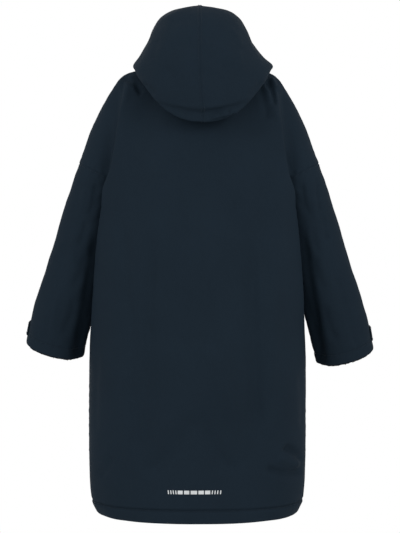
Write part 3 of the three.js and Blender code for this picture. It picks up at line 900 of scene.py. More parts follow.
def copies(name, template, frames, finish, smooth=True):
    """One mesh of many copies of a template. A frame is a place and three axes, in m."""
    corners, faces = template
    places, turned = [], []
    for k, (origin, x, y, z) in enumerate(frames):
        places.append(origin + corners[:, :1] * x + corners[:, 1:2] * y + corners[:, 2:] * z)
        turned += [[index + k * len(corners) for index in face] for face in faces]
    places = np.concatenate(places).tolist()
    return new_piece(name, places, turned, [finish], [smooth] * len(turned))


def evenly(points, normals, pitch, start=0.0):
    """Places, tangents and normals at an even pitch along a line of points, in mm."""
    steps = np.linalg.norm(np.diff(points, axis=0), axis=1)
    run = np.concatenate([[0], np.cumsum(steps)])
    at = np.arange(start + pitch / 2, run[-1] - pitch / 2, pitch)

    def read(values, at):
        return np.stack([np.interp(at, run, values[:, k]) for k in range(3)], 1)

    tangent = unit(read(points, at + pitch / 4) - read(points, at - pitch / 4))
    return read(points, at), tangent, unit(read(normals, at))


def stitch_template():
    """One stitch: a short length of thread that dips into the cloth at both ends."""
    robe = bpy.context.scene.robe
    start_primitive(
        bpy.ops.mesh.primitive_cylinder_add, vertices=5, end_fill_type="NGON",
        radius=robe.thread_thickness / 2, depth=robe.stitch_length, rotation=(0, math.pi / 2, 0),
    )
    bpy.ops.mesh.inset(thickness=0.3 * robe.thread_thickness, use_select_inset=False)
    return end_template()


def sew(name, lines):
    """A run of stitches along each line, standing just proud of the cloth."""
    robe = bpy.context.scene.robe
    pitch = robe.stitch_pitch / MM
    frames = []
    for points, normals in lines:
        place, tangent, normal = evenly(points, normals, pitch)
        across = np.cross(normal, tangent)
        place = (place + normal * THREAD_PROUD) * MM
        frames += zip(place, tangent, across, normal)
    if "stitch" not in CLOTHS:
        CLOTHS["stitch"] = stitch_template()
    settle(copies(name, CLOTHS["stitch"], frames, finish_for("thread")))


def distances(cloth):
    """Distances in mm from the first column, last column, first row and last row."""
    across, down = (length / MM for length in cloth.lengths())
    return across, across[-1:] - across, down, down[:, -1:] - down


def turned_hem(distance, along, depth, order, firm=1.0):
    """A turned and stitched edge: two layers below the stitching, and puckers along it."""
    two_layers = 1.5 * firm * (1 - smooth_step(distance, depth - 2, depth + 2))
    line = groove(distance - depth, 3.8 * firm, 3)
    rounded = groove(distance, 1.1, 2.2)
    waves = wave(along, 23, order) + 0.7 * wave(along, 14.3, 2 * order)
    uneven = 0.6 + 0.4 * wave(along, 97, order)
    return two_layers + line + rounded + 0.42 * waves * uneven * bell(distance - depth, 11)


def seam_puckers(distance, along, height, reach, order, dip=1.0):
    """Small puckers that a seam draws into the cloth beside it, and the dip at the seam."""
    waves = wave(along, 19, order) + 0.6 * wave(along, 31, 3 * order)
    near = bell(distance, reach) * (1 - bell(distance, 2.5))
    return height * waves * near + groove(distance, dip, 2.2)


def edge_line(cloth, edge, inset, start=0.0, end=1.0):
    """A line along one edge of a cloth, that far in. start and end are shares of its length."""
    first_a, last_a, first_b, last_b = distances(cloth)
    gaps = {"left": first_a.T, "right": last_a.T, "top": first_b, "bottom": last_b}[edge]
    sideways = edge in ("left", "right")
    places = cloth.a[:, 0] if sideways else cloth.b[0]
    others = cloth.b[0] if sideways else cloth.a[:, 0]
    inward = []
    for row in gaps:
        order = np.argsort(row)
        inward.append(np.interp(inset, row[order], places[order]))
    inward = np.array(inward)
    points, normals = cloth.line(inward, others) if sideways else cloth.line(others, inward)
    last = len(points) - 1
    part = slice(round(start * last), round(end * last) + 1)
    return points[part], normals[part]


# ------------------------------------------------------------------ the cloths' grids
BASES = {}
# Cloths share their normals at a seam from that bend on (a cosine) and up to that gap in mm
SEAM_BENDS, SEAM_GAPS = (-0.1, 0.4), (1.8, 3)
LABELS = ("left", "right")
SIDES = tuple(zip(LABELS, (1, -1)))
# Extra rows and columns, in mm from an edge, and the cloths' rough sizes in mm
NEAR_EDGE = (1.5, 4, 7, 11, 16)
NEAR_HEM = (1, 3, 6, 10, 15, 20, 24, 26, 28, 29, 30, 31, 32, 34, 36, 40)
NEAR_CUFF = (1, 3, 6, 10, 15, 20, 23, 24, 25, 26, 27, 29, 32)
NEAR_ZIP, NEAR_ARMHOLE = (1, 2, 3.5, 5, 6, 7, 9), (1, 2.5, 4.5, 7, 11)
BODY_WIDTH, BODY_RISE, BODY_DROP, SLEEVE_LENGTH, HOOD_ROUND = 330, 340, 775, 430, 400
SLEEVE_COLUMNS = np.linspace(0, 1, 113)
TAPE_COLUMNS = (0, 0.25, 0.5, 0.75, 0.86, 0.93, 1, 1.08, 1.2, 1.5)
# Small sizes in m
TOOTH, TOOTH_BEVEL = (0.0038, 0.0014, 0.0022), 0.00035
AXLE_RADIUS, AXLE_LENGTH, CURL_WIDTH, CURL_ROOT = 0.0005, 0.0066, 0.0016, 0.001
# In mm: how far tapes are sunk and overlap the fronts, where teeth stand, thread over cloth
TAPE_SUNK, TAPE_OVERLAP, TOOTH_PROUD, TOOTH_ASIDE, TEETH_PARTED = 1.5, 1.1, 0.25, 0.75, 1.5
THREAD_PROUD = 0.1
# Shares of the sleeve and of the fleece where the fleece starts and leaves the cuff, then mm
FLEECE_START, FLEECE_LIP, FLEECE_OUT, FLEECE_TURNED_IN = 0.88, 0.8, 4, 1.4
# A strap's place on the sleeve's grid, its gap to the sleeve in mm and how much of it is round
STRAP = {"turn0": 0.47, "turn1": 0.73, "s0": 0.885, "s1": 0.955, "clearance": 0.9, "round": 0.12}
# Each mark runs from x0 to x1 at its middle, in mm, and its ends slant by the third number.
# The film's faces stand MARK_PROUD over the cloth and MARK_SUNK in it, in m.
MARKS_Z, MARK_STEP, MARK_PROUD, MARK_SUNK = -982, 1.4, 0.00034, 0.0002
MARKS = [
    (71.0, 68.6, 0.5), (65.2, 62.8, 0.5), (59.6, 57.2, 0.5), (53.8, 51.4, 0.5),
    (48.4, 37.2, 0), (33.9, 22.1, 0), (18.8, 4.2, 0), (1.2, -11.2, 0), (-13.7, -25.8, 0),
    (-29.4, -31.8, -0.5), (-35.6, -38.0, -0.5), (-41.6, -44.0, -0.5), (-48.3, -50.7, -0.5),
]
# Name, place and size in m, and share of the power
LAMPS = [
    ("lamp_right", (-2.2, 2.4, 0.9), 1.6, 0.95),
    ("lamp_left", (2.3, 2.3, 0.8), 1.6, 0.75),
    ("lamp_front", (0.6, -3.0, 0.9), 2.0, 0.6),
]
LAMPS_AIM, FLOOR_THICKNESS = (0, 0, -0.45), 0.02
CAMERA_X, CAMERA_Z = -0.0024, -0.4668


def zip_ripple(z):
    """The zip pulls the cloth beside it into slow waves."""
    return 0.9 * np.sin(z / 23) + 0.5 * np.sin(z / 13.7 + 1)


def shares(lengths, whole):
    return [length / whole for length in lengths]


def share_normals(cloths):
    """Where two cloths meet in a seam without a sharp fold, both lean the same way at it."""
    masks = [cloth.edge_mask() for cloth in cloths]
    edges = [(cloth.points[mask], cloth.normals[mask]) for cloth, mask in zip(cloths, masks)]
    for k, cloth in enumerate(cloths):
        points, normals = edges[k]
        total, meets = normals.copy(), np.zeros(len(points), bool)
        for other_points, other_normals in edges[:k] + edges[k + 1 :]:
            gaps = np.linalg.norm(points[:, None] - other_points[None], axis=-1)
            nearest = other_normals[gaps.argmin(1)]
            weight = smooth_step((normals * nearest).sum(-1), *SEAM_BENDS)
            weight *= 1 - smooth_step(gaps.min(1), *SEAM_GAPS)
            total += nearest * weight[:, None]
            meets |= gaps.min(1) < SEAM_GAPS[1]
        cloth.seamed = np.zeros(masks[k].shape, bool)
        cloth.seamed[masks[k]] = meets
        cloth.shared = unit(total)
        cloth.normals[masks[k]] = cloth.shared


def body_grid(columns, face):
    """A body panel. Columns are signed: those below 0 are on the left of the back."""
    rows = np.concatenate([
        crowded(84, shares((1.5, 3.5, 6, 9, 13), BODY_RISE)) - 1,
        crowded(150, (), shares(NEAR_HEM, BODY_DROP))[1:],
    ])
    if face > 0:
        return Cloth(
            columns, rows, flip=True,
            point=lambda a, b: body_point(np.abs(a), b, 1, np.where(a < 0, 1, -1)),
        )
    side = 1 if columns[-1] > 0 else -1
    return Cloth(
        np.abs(columns), rows, flip=side > 0, point=lambda a, b: body_point(a, b, -1, side)
    )


def ease_neck(cloth):
    """Evens out the bend that the corner of the neck and shoulder seams gives the rows below."""
    u, v = np.abs(cloth.a), cloth.b
    weight = smooth_step(-v, 0, 0.25) * (1 - smooth_step(-v, 0.93, 1))
    weight *= 1 - smooth_step(u, 0.5, 0.65)
    for _ in range(90):
        bend = cloth.points[:-2] - 2 * cloth.points[1:-1] + cloth.points[2:]
        cloth.points[1:-1] += 0.25 * weight[1:-1, :, None] * bend
    cloth.find_normals()


def bases():
    """The main cloths before their creases, all made together so that their seams agree."""
    if not BASES:
        near_side = shares(NEAR_EDGE, BODY_WIDTH)
        half = crowded(80, (), near_side)
        BASES["back"] = body_grid(np.concatenate([-half[:0:-1], half]), 1)
        half = crowded(80, shares(NEAR_ZIP, BODY_WIDTH), near_side)
        along = crowded(104, *(shares(near, SLEEVE_LENGTH) for near in (NEAR_ARMHOLE, NEAR_CUFF)))
        near_edge = shares((1, 2.5, 5), HOOD_ROUND)
        around, up = (crowded(count, near_edge, near_edge) for count in (96, 120))
        for label, side in SIDES:
            BASES[f"front_{label}"] = body_grid(side * half, -1)
            BASES[f"sleeve_{label}"] = Cloth(
                SLEEVE_COLUMNS, along, wraps=True, flip=side < 0,
                point=lambda a, b, side=side: sleeve_point(a, b, side),
            )
            BASES[f"hood_{label}"] = Cloth(
                around, up, flip=side < 0, point=lambda a, b, side=side: hood_point(a, b, side)
            )
        for name in ("back", "front_left", "front_right"):
            ease_neck(BASES[name])
        share_normals(list(BASES.values()))
    return BASES


def crease_body(cloth, folds, detail):
    """Creases and unevenness of a body panel, which die away toward its seams."""
    u, v = np.abs(cloth.a), cloth.b
    x, _, z = np.moveaxis(cloth.points, -1, 0)
    clear = (1 - u**8) * (1 - np.minimum(v, 0) ** 8)
    cloth.lift(creases(x, z, folds) * clear, 110)
    clear = (1 - smooth_step(u, 0.95, 1)) * (1 - smooth_step(-v, 0.97, 1))
    cloth.lift(creases(x, z, detail) * clear, 12)
    upright = cloth.points * (1, 1, HILLS_UPRIGHT)
    clear = smooth_step(1 - u, 0, 0.05) * smooth_step(1 + v, 0, 0.04)
    hills = unevenness(upright, 58, 2.0) + unevenness(cloth.points + 400, 27, 0.45)
    cloth.lift(hills * clear, 6)


def body_seams(cloth, side, top, middle, bottom, order):
    """Puckers at the armhole, side, shoulder and neck seams of a body panel, and its hem."""
    dip = mix(0.35, 1.0, smooth_step(cloth.b, -0.1, 0.1))
    rise = seam_puckers(side, top, 0.55, 9, 0.4, dip) + seam_puckers(top, middle, 0.5, 10, order)
    return rise + turned_hem(bottom, side, bpy.context.scene.robe.hem_depth / MM, 0.8)


def nodes_of(part, labels):
    return [f"{part}_{band}_{label}" for band in ("upper", "lower") for label in labels]


# ------------------------------------------------------------------ properties
def length(name, description, default, low, high):
    return bpy.props.FloatProperty(
        name=name, description=description, default=default, min=low, max=high,
        unit="LENGTH", subtype="DISTANCE", precision=4,
    )


def colour(name, description, default):
    return bpy.props.FloatVectorProperty(
        name=name, description=description, default=default, size=3, min=0, max=1, subtype="COLOR"
    )


class RobeProperties(bpy.types.PropertyGroup):
    wall: length("Cloth wall", "Shell and fleece lining together", 0.003, 0.001, 0.006)
    tape_wall: length("Tape wall", "Thickness of the zip tapes", 0.0012, 0.0005, 0.003)
    strap_wall: length("Strap wall", "Thickness of the cuff straps", 0.0024, 0.001, 0.005)
    lining_wall: length("Cuff fleece", "Thickness of the fleece in the cuffs", 0.004, 0.002, 0.006)
    hem_depth: length("Hem depth", "Depth of the turned hem", 0.03, 0.01, 0.05)
    cuff_depth: length("Cuff depth", "Depth of the turned cuffs", 0.025, 0.01, 0.04)
    casing_depth: length("Hood casing", "Depth of the casing round the face", 0.018, 0.01, 0.03)
    thread_thickness: length("Thread", "Thickness of the sewing thread", 0.0005, 0.0002, 0.001)
    stitch_length: length("Stitch length", "Thread that shows in one stitch", 0.0026, 0.001, 0.006)
    stitch_pitch: length("Stitch pitch", "From one stitch to the next", 0.0033, 0.0015, 0.007)
    tooth_pitch: length("Tooth pitch", "From one tooth to the next on a tape", 0.003, 0.001, 0.006)
    pile_length: length("Pile length", "Length of the curls at the cuffs", 0.0052, 0.001, 0.012)
    mark_height: length("Mark height", "Height of the reflective marks", 0.0084, 0.004, 0.02)
    tufts: bpy.props.IntProperty(
        name="Curls a cuff", description="Curls of fleece at the edge of a cuff",
        default=1100, min=0, max=3000,
    )
    shell_colour: colour("Shell", "Colour of the shell", (0.0092, 0.0160, 0.0240))
    fleece_colour: colour("Fleece", "Colour of the fleece", (0.009, 0.011, 0.015))
    tape_colour: colour("Zip tape", "Colour of the zip's tapes and teeth", (0.007, 0.010, 0.014))
    thread_colour: colour("Thread", "Colour of the sewing thread", (0.012, 0.018, 0.027))
    metal_colour: colour("Metal", "Colour of the slider and its pull", (0.022, 0.024, 0.028))
    reflective_colour: colour("Reflective", "Colour of the reflective marks", (0.55, 0.57, 0.58))


class StageProperties(bpy.types.PropertyGroup):
    distance: length("Distance", "From the robe's middle to the camera", 3.5, 1, 10)
    floor_radius: length("Floor radius", "Radius of the round floor", 1.6, 0.5, 4)
    floor_height: length("Floor height", "Height of the floor's top", -1.46, -3, -1.06)
    lens: bpy.props.FloatProperty(
        name="Lens", description="Focal length for a 36 mm sensor", default=98.5, min=20, max=300,
        unit="CAMERA", subtype="DISTANCE_CAMERA",
    )
    lamp_power: bpy.props.FloatProperty(
        name="Lamp power", description="A side lamp's power, before its share", default=26,
        min=0, max=500, unit="POWER",
    )
    sky: bpy.props.FloatProperty(
        name="Surround", description="Brightness of the white surround", default=1.0, min=0, max=4
    )
    floor_colour: colour("Floor", "Colour of the floor", (0.8, 0.8, 0.79))


# ------------------------------------------------------------------ operators
class ROBE_OT_back(bpy.types.Operator):
    """Back panel, in one piece, with its creases, seam puckers and turned hem"""

    bl_idname = "robe.back"
    bl_label = "Back panel"

    def execute(self, context):
        robe = context.scene.robe
        cloth = bases()["back"]
        left, right, top, bottom = distances(cloth)
        crease_body(cloth, BACK_CREASES, BACK_DETAIL)
        side, middle = np.minimum(left, right), np.abs(left - right)
        cloth.lift(body_seams(cloth, side, top, middle, bottom, 1.3))
        hang_cloth("back_panel", cloth, nodes_of("back", ("left", "right")), robe.wall)
        return {"FINISHED"}


class ROBE_OT_fronts(bpy.types.Operator):
    """Left and right front panels, which meet the zip"""

    bl_idname = "robe.fronts"
    bl_label = "Front panels"

    def execute(self, context):
        robe = context.scene.robe
        for label in LABELS:
            cloth = bases()[f"front_{label}"]
            zip_edge, side_seam, top, bottom = distances(cloth)
            crease_body(cloth, FRONT_CREASES, FRONT_DETAIL)
            rise = body_seams(cloth, side_seam, top, zip_edge, bottom, 2.1)
            rise += zip_ripple(cloth.points[..., 2]) * np.exp(-zip_edge / 30)
            rise += groove(zip_edge - ZIP_STITCH_IN, 0.7, 1.8) + groove(zip_edge, 0.9, 1.6)
            cloth.lift(rise)
            hang_cloth(f"front_panel_{label}", cloth, nodes_of("front", (label,)), robe.wall)
        return {"FINISHED"}


class ROBE_OT_sleeves(bpy.types.Operator):
    """Left and right sleeves, with soft folds and turned cuffs"""

    bl_idname = "robe.sleeves"
    bl_label = "Sleeves"

    def execute(self, context):
        robe = context.scene.robe
        for label, side in SIDES:
            cloth = bases()[f"sleeve_{label}"]
            x, _, z = np.moveaxis(cloth.points, -1, 0)
            deep = np.sin(2 * math.pi * cloth.a)
            faces = smooth_step(np.abs(deep), 0.08, 0.5) * np.where(deep > 0, 1, 0.85)
            out = smooth_step(cloth.b, 0, 0.06)
            rows = SLEEVE_CREASES if side > 0 else RIGHT_SLEEVE_CREASES
            rise = 0.72 * creases(side * x, z, rows + UNDERARM_CREASES) * faces * out
            hills = unevenness(cloth.points, 52, 1.6) + unevenness(cloth.points + 200, 21, 0.6)
            rise += hills * out
            across, _, top, bottom = distances(cloth)
            rise += seam_puckers(top, across, 0.6, 12, 0.9 + side, 0.35)
            underarm = np.minimum(across, across[-1:] - across)
            rise += seam_puckers(underarm, top, 0.3, 8, side)
            rise += turned_hem(bottom, underarm, robe.cuff_depth / MM, 1.5 * side, 0.3)
            cloth.lift(rise)
            hang_cloth(f"sleeve_cloth_{label}", cloth, (f"sleeve_{label}",), robe.wall)
        return {"FINISHED"}


class ROBE_OT_hood(bpy.types.Operator):
    """Hood, in two panels with a centre seam, lined with fleece"""

    bl_idname = "robe.hood"
    bl_label = "Hood"

    def execute(self, context):
        robe = context.scene.robe
        for label in LABELS:
            cloth = bases()[f"hood_{label}"]
            x, y, z = np.moveaxis(cloth.points, -1, 0)
            face, centre, neck, crown = distances(cloth)
            behind = smooth_step(cloth.a, *HOOD_BEHIND) * smooth_step(cloth.b, *ABOVE_FOLD)
            beside = bell(cloth.a - 0.45, 0.2)
            seam = np.minimum(centre, crown)
            clear = smooth_step(seam, 0, 9) * smooth_step(neck, 0, 12)
            above_fold = neck - neck[:, [np.searchsorted(cloth.b[0], HOOD_FOLD)]]
            rise = creases(x, z, HOOD_CREASES) * behind * smooth_step(neck, 0, 12)
            rise = np.maximum(rise, -DENT_SLOPE * np.maximum(above_fold, 0))
            rise += creases(y, z, HOOD_SIDE_CREASES) * beside * clear
            rise += unevenness(cloth.points, 46, 1.5) + unevenness(cloth.points + 90, 19, 0.5)
            rise += seam_puckers(neck, face, 0.6, 9, 0.7)
            rise += groove(seam, 0.08, 1.6) + groove(seam - SEAM_STITCH_IN, 0.06, 1.3)
            rise += turned_hem(face, neck, robe.casing_depth / MM, 2.2, 0.6)
            cloth.lift(rise)
            folded = bell(cloth.b - HOOD_FOLD, FOLD_REACH)
            pile = np.abs(unevenness(cloth.points, 5, 0.9))
            fluff = pile * (1 - folded) - FOLD_THINNER * folded
            hang_cloth(
                f"hood_cloth_{label}", cloth, (f"hood_panel_{label}",), robe.wall,
                inner_rise=fluff,
            )
        return {"FINISHED"}


class ROBE_OT_cuff_straps(bpy.types.Operator):
    """Hook and loop straps round the outside of the cuffs"""

    bl_idname = "robe.cuff_straps"
    bl_label = "Cuff straps"

    def execute(self, context):
        robe = context.scene.robe
        for label, side in SIDES:
            sleeve = bases()[f"sleeve_{label}"]

            def point(a, b):
                rounded = np.clip((a - (1 - STRAP["round"])) / STRAP["round"], 0, 1)
                narrow = 1 - 0.42 * (1 - np.sqrt(1 - (0.995 * rounded) ** 2))
                turn = mix(STRAP["turn0"], STRAP["turn1"], a)
                s = mix(STRAP["s0"], STRAP["s1"], 0.5 + (b - 0.5) * narrow)
                places, normals = sleeve.line(turn.ravel(), s.ravel())
                out = (STRAP["clearance"] + robe.strap_wall / MM) + 0.5 * np.sin(7 * a.ravel())
                return (places + unit(normals) * out[:, None]).reshape(*a.shape, 3)

            columns = crowded(46, (0.01, 0.02), (0.006, 0.012, 0.02, 0.03))
            rows = crowded(16, (0.02, 0.05), (0.02, 0.05))
            cloth = Cloth(columns, rows, point, flip=side < 0)
            edge = np.minimum.reduce(distances(cloth))
            cloth.lift(groove(edge - STRAP_STITCH_IN, 0.45, 1) + groove(edge, 0.5, 0.8))
            hang_cloth(
                f"cuff_strap_{label}", cloth, (f"cuff_tab_{label}",), robe.strap_wall,
                "shell shell",
            )
        return {"FINISHED"}


def way_out(cloth, turns, share):
    """Which way a tube of cloth runs at its end, seen from that share of its length."""
    before, end = (cloth.line(turns, np.full(turns.size, at))[0] for at in (share, 1.0))
    return unit(end - before)


class ROBE_OT_cuff_fleece(bpy.types.Operator):
    """Fleece inside the cuffs, with its curls showing past their edges"""

    bl_idname = "robe.cuff_fleece"
    bl_label = "Cuff fleece"

    def execute(self, context):
        robe = context.scene.robe
        start_primitive(
            bpy.ops.mesh.primitive_cone_add, vertices=4, radius1=0.5, radius2=0.12, depth=1,
            location=(0, 0, 0.5),
        )
        curl = end_template()
        for label, side in SIDES:
            sleeve = bases()[f"sleeve_{label}"]
            inset = robe.wall / MM + 0.5

            def point(a, b):
                s = mix(FLEECE_START, 1.0, np.minimum(b / FLEECE_LIP, 1))
                places, normals = sleeve.line(a.ravel(), s.ravel())
                past = (np.maximum(b.ravel() - FLEECE_LIP, 0) / (1 - FLEECE_LIP))[:, None]
                out = way_out(sleeve, a.ravel(), 0.97) * FLEECE_OUT * np.sin(past * math.pi / 2)
                inward = inset + FLEECE_TURNED_IN * past**2
                return (places - unit(normals) * inward + out).reshape(*a.shape, 3)

            rows = np.linspace(0, 1, 19)
            cloth = Cloth(SLEEVE_COLUMNS, rows, point, wraps=True, flip=side < 0)
            cloth.lift(np.minimum(unevenness(cloth.points, 5.5, 1.5), 0.3))
            fluff = unevenness(cloth.points, 6, 0.8) - 0.4
            hang_cloth(
                f"cuff_fleece_{label}", cloth, (f"cuff_lining_{label}",), robe.lining_wall,
                "fleece fleece", fluff,
            )
            settle(self.curls(f"cuff_curls_{label}", cloth, curl, robe, 11 + side))
        return {"FINISHED"}

    def curls(self, name, cloth, template, robe, seed):
        """Curls all round the edge, each leaning its own way but mostly out of the cuff."""
        chance = np.random.default_rng(seed)
        turns = (np.arange(robe.tufts) + chance.random(robe.tufts)) / max(robe.tufts, 1)
        places, normals = cloth.line(turns, 0.9 + 0.1 * chance.random(robe.tufts))
        depth = chance.random(robe.tufts)[:, None] * robe.lining_wall / MM
        places = places - normals * depth
        clump = np.stack([np.sin(turns * 2 * math.pi * rate + rate) for rate in (31, 47, 23)], 1)
        stray = chance.standard_normal((robe.tufts, 3))
        lean = unit(way_out(cloth, turns, 0.6) + 0.5 * clump + 0.45 * stray)
        aside = unit(np.cross(lean, normals))
        frames = []
        for place, axis, x in zip(places * MM, lean, aside):
            tall = robe.pile_length * (0.45 + 0.55 * chance.random())
            wide = CURL_WIDTH * (0.6 + 0.6 * chance.random())
            root = place - axis * CURL_ROOT
            frames.append((root, x * wide, np.cross(axis, x) * wide, axis * tall))
        return copies(name, template, frames, finish_for("fleece"))


class ROBE_OT_zip(bpy.types.Operator):
    """Zip tapes and teeth, with finishes for the slider and its pull"""

    bl_idname = "robe.zip"
    bl_label = "Zip"

    def execute(self, context):
        robe = context.scene.robe
        start_primitive(bpy.ops.mesh.primitive_cube_add, size=1, location=(0, 0, 0))
        bpy.ops.transform.resize(value=TOOTH)
        bpy.ops.mesh.bevel(offset=TOOTH_BEVEL, segments=1, affect="EDGES")
        tooth = end_template()
        frames = []
        for label, side in SIDES:
            front = bases()[f"front_{label}"]

            def point(a, b):
                edge, other = (body_point(np.zeros_like(b), b, -1, way) for way in (side, -side))
                return mix((edge + other) / 2, edge, a)

            cloth = Cloth(TAPE_COLUMNS, front.b[0], point, flip=side > 0)
            behind = smooth_step(cloth.a, 0.86, 1.08)
            ripple = zip_ripple(cloth.points[..., 2])
            sunk = TAPE_SUNK + behind * (robe.wall / MM - TAPE_OVERLAP)
            cloth.lift(ripple * np.minimum(cloth.a, 1) - sunk)
            hang_cloth(
                f"tape_cloth_{label}", cloth, (f"zip_tape_{label}",), robe.tape_wall,
                "tape tape",
            )
            frames += self.teeth(cloth, side, robe)
        teeth = copies("zip_teeth", tooth, frames, finish_for("teeth"), smooth=False)
        settle(teeth)
        self.slider()
        return {"FINISHED"}

    def teeth(self, tape, side, robe):
        """Teeth along the inner edge of one tape, which mesh with those of the other."""
        rows = tape.b[0]
        points, normals = tape.line(np.zeros(len(rows)), rows)
        pitch = robe.tooth_pitch / MM
        places, tangents, normals = evenly(points, normals, pitch, 0 if side > 0 else pitch / 2)
        across = unit(np.cross(tangents, normals)) * side
        across *= np.sign(across[:, :1]) * side
        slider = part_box("zip_slider")[0].z / MM
        frames = []
        for place, tangent, aside, normal in zip(places, tangents, across, normals):
            parted = TEETH_PARTED * smooth_step(place[2], slider - 4, slider + 8)
            middle = place + normal * TOOTH_PROUD + aside * (TOOTH_ASIDE + parted)
            frames.append((middle * MM, aside, tangent, normal))
        return frames

    def slider(self):
        """The slider and pull keep their solids. The axle runs between the slider's rails."""
        for name in ("zip_slider", "zip_pull"):
            node = frame["nodes"][name]
            node.data.materials.clear()
            node.data.materials.append(finish_for("metal"))
        hinge = next(joint for joint in frame["joints"] if joint["name"] == "pull_swing")
        start_primitive(
            bpy.ops.mesh.primitive_cylinder_add, vertices=20, radius=AXLE_RADIUS, depth=AXLE_LENGTH,
            location=hinge["pos_m"], rotation=(0, math.pi / 2, 0),
        )
        axle = end_piece("zip_axle")
        axle.data.materials.append(finish_for("metal"))
        settle(axle)


class ROBE_OT_stitching(bpy.types.Operator):
    """Stitching along the hem, zip, hood, cuffs, armholes and straps"""

    bl_idname = "robe.stitching"
    bl_label = "Stitching"

    def execute(self, context):
        robe = context.scene.robe
        hem, cuff = robe.hem_depth / MM, robe.cuff_depth / MM
        casing = robe.casing_depth / MM
        # Each run's cloths, and its lines on each of them: an edge, how far in, start and end
        runs = {
            "hem": ("front_panel", [("bottom", hem)]),
            "zip": ("front_panel", [("left", ZIP_STITCH_IN, 0.01)]),
            "hood": ("hood_cloth", [
                ("left", casing), ("right", SEAM_STITCH_IN, 0.03),
                ("bottom", SEAM_STITCH_IN, 0.03, 0.98),
            ]),
            "cuffs": ("sleeve_cloth", [("bottom", cuff)]),
            "armholes": ("sleeve_cloth", [("top", ARMHOLE_STITCH_IN)]),
            "straps": ("cuff_strap", [
                (edge, STRAP_STITCH_IN, 0.06, 0.94) for edge in ("top", "bottom", "left", "right")
            ]),
        }
        for name, (part, edges) in runs.items():
            lines = [edge_line(CLOTHS["back_panel"], "bottom", hem)] if name == "hem" else []
            for label in LABELS:
                lines += [edge_line(CLOTHS[f"{part}_{label}"], *edge) for edge in edges]
            sew(f"stitching_{name}", lines)
        return {"FINISHED"}


class ROBE_OT_marks(bpy.types.Operator):
    """A row of small silver reflective marks across the back, above the hem"""

    bl_idname = "robe.marks"
    bl_label = "Reflective marks"

    def execute(self, context):
        robe = context.scene.robe
        back = bpy.data.objects["back_panel"]
        half = robe.mark_height / 2
        corners, faces = [], []
        for x0, x1, slant in MARKS:
            count = max(round((x0 - x1) / MARK_STEP), 2)
            for k in range(count + 1):
                for level in (-1, -0.33, 0.33, 1):
                    x = (mix(x0, x1, k / count) + level * slant) * MM
                    start = (x, 0.5, MARKS_Z * MM + level * half)
                    hit, place, normal, _ = back.ray_cast(start, (0, -1, 0))
                    if not hit:
                        raise RuntimeError("a reflective mark misses the back panel")
                    corners += [place + normal * MARK_PROUD, place - normal * MARK_SUNK]
            faces += self.slab(len(corners) - 8 * (count + 1), count, 4)
        settle(new_piece("reflective_marks", corners, faces, [finish_for("reflective")]))
        return {"FINISHED"}

    def slab(self, first, count, levels):
        """Faces of one mark: its front, its back and its edges."""
        def at(k, level, layer):
            return first + 2 * (levels * k + level) + layer

        faces = []
        for k in range(count):
            for level in range(levels - 1):
                ring = [(k, level), (k, level + 1), (k + 1, level + 1), (k + 1, level)]
                faces.append([at(*spot, 0) for spot in ring[::-1]])
                faces.append([at(*spot, 1) for spot in ring])
        border = [(k, 0) for k in range(count)] + [(count, level) for level in range(levels - 1)]
        border += [(count - k, levels - 1) for k in range(count)]
        border += [(0, levels - 1 - level) for level in range(levels - 1)]
        for here, there in zip(border, border[1:] + border[:1]):
            faces.append([at(*here, 0), at(*here, 1), at(*there, 1), at(*there, 0)][::-1])
        return faces


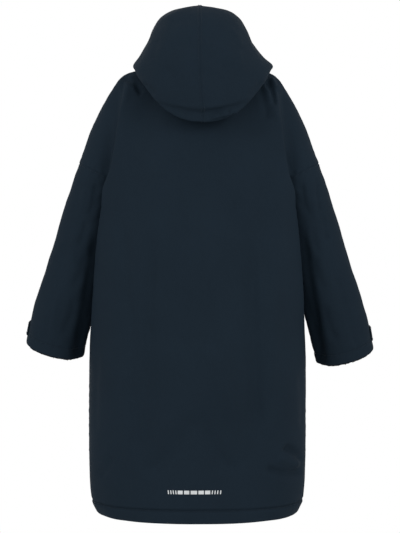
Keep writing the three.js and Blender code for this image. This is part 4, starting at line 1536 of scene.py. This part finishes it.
class ROBE_OT_stage(bpy.types.Operator):
    """Pale floor, white surround, soft lamps at both sides and the camera behind the robe"""

    bl_idname = "robe.stage"
    bl_label = "Stage"

    def execute(self, context):
        scene = context.scene
        stage = scene.robe_stage
        start_primitive(
            bpy.ops.mesh.primitive_cylinder_add, vertices=128, radius=stage.floor_radius,
            depth=FLOOR_THICKNESS, location=(0, 0, stage.floor_height - FLOOR_THICKNESS / 2),
        )
        floor = end_piece("floor")
        floor.data.materials.append(finish_for("floor"))
        world = bpy.data.worlds.new("white surround")
        world.use_nodes = True
        surround = world.node_tree.nodes["Background"].inputs
        surround["Color"].default_value = (1, 1, 1, 1)
        surround["Strength"].default_value = stage.sky
        scene.world = world
        for name, place, size, share in LAMPS:
            data = bpy.data.lights.new(name, "AREA")
            data.size, data.energy = size, stage.lamp_power * share
            lamp = bpy.data.objects.new(name, data)
            scene.collection.objects.link(lamp)
            lamp.location = place
            toward = Vector(LAMPS_AIM) - lamp.location
            lamp.rotation_euler = toward.to_track_quat("-Z", "Y").to_euler()
        data = bpy.data.cameras.new("camera")
        data.lens, data.sensor_width, data.sensor_fit = stage.lens, 36, "AUTO"
        camera = bpy.data.objects.new("camera", data)
        scene.collection.objects.link(camera)
        camera.location = (CAMERA_X, stage.distance, CAMERA_Z)
        camera.rotation_euler = (math.pi / 2, 0, math.pi)
        scene.camera = camera
        scene.view_settings.view_transform = "Standard"
        return {"FINISHED"}


STEPS = (
    ROBE_OT_back, ROBE_OT_fronts, ROBE_OT_sleeves, ROBE_OT_hood, ROBE_OT_cuff_straps,
    ROBE_OT_cuff_fleece, ROBE_OT_zip, ROBE_OT_stitching, ROBE_OT_marks, ROBE_OT_stage,
)


class ROBE_PT_panel(bpy.types.Panel):
    """The build steps, in their order, and the sizes and colours they use"""

    bl_idname = "ROBE_PT_panel"
    bl_label = "Changing robe"
    bl_space_type = "VIEW_3D"
    bl_region_type = "UI"
    bl_category = "Robe"

    def draw(self, context):
        for group in (context.scene.robe, context.scene.robe_stage):
            column = self.layout.column(align=True)
            for name in group.__annotations__:
                column.prop(group, name)
        column = self.layout.column()
        for step in STEPS:
            column.operator(step.bl_idname)


CLASSES = (RobeProperties, StageProperties, *STEPS, ROBE_PT_panel)


def register():
    for cls in CLASSES:
        bpy.utils.register_class(cls)
    bpy.types.Scene.robe = bpy.props.PointerProperty(type=RobeProperties)
    bpy.types.Scene.robe_stage = bpy.props.PointerProperty(type=StageProperties)


def unregister():
    del bpy.types.Scene.robe_stage
    del bpy.types.Scene.robe
    for cls in reversed(CLASSES):
        bpy.utils.unregister_class(cls)


def main():
    register()
    for step in STEPS:
        group, name = step.bl_idname.split(".")
        getattr(getattr(bpy.ops, group), name)()


if __name__ == "__main__":
    main()
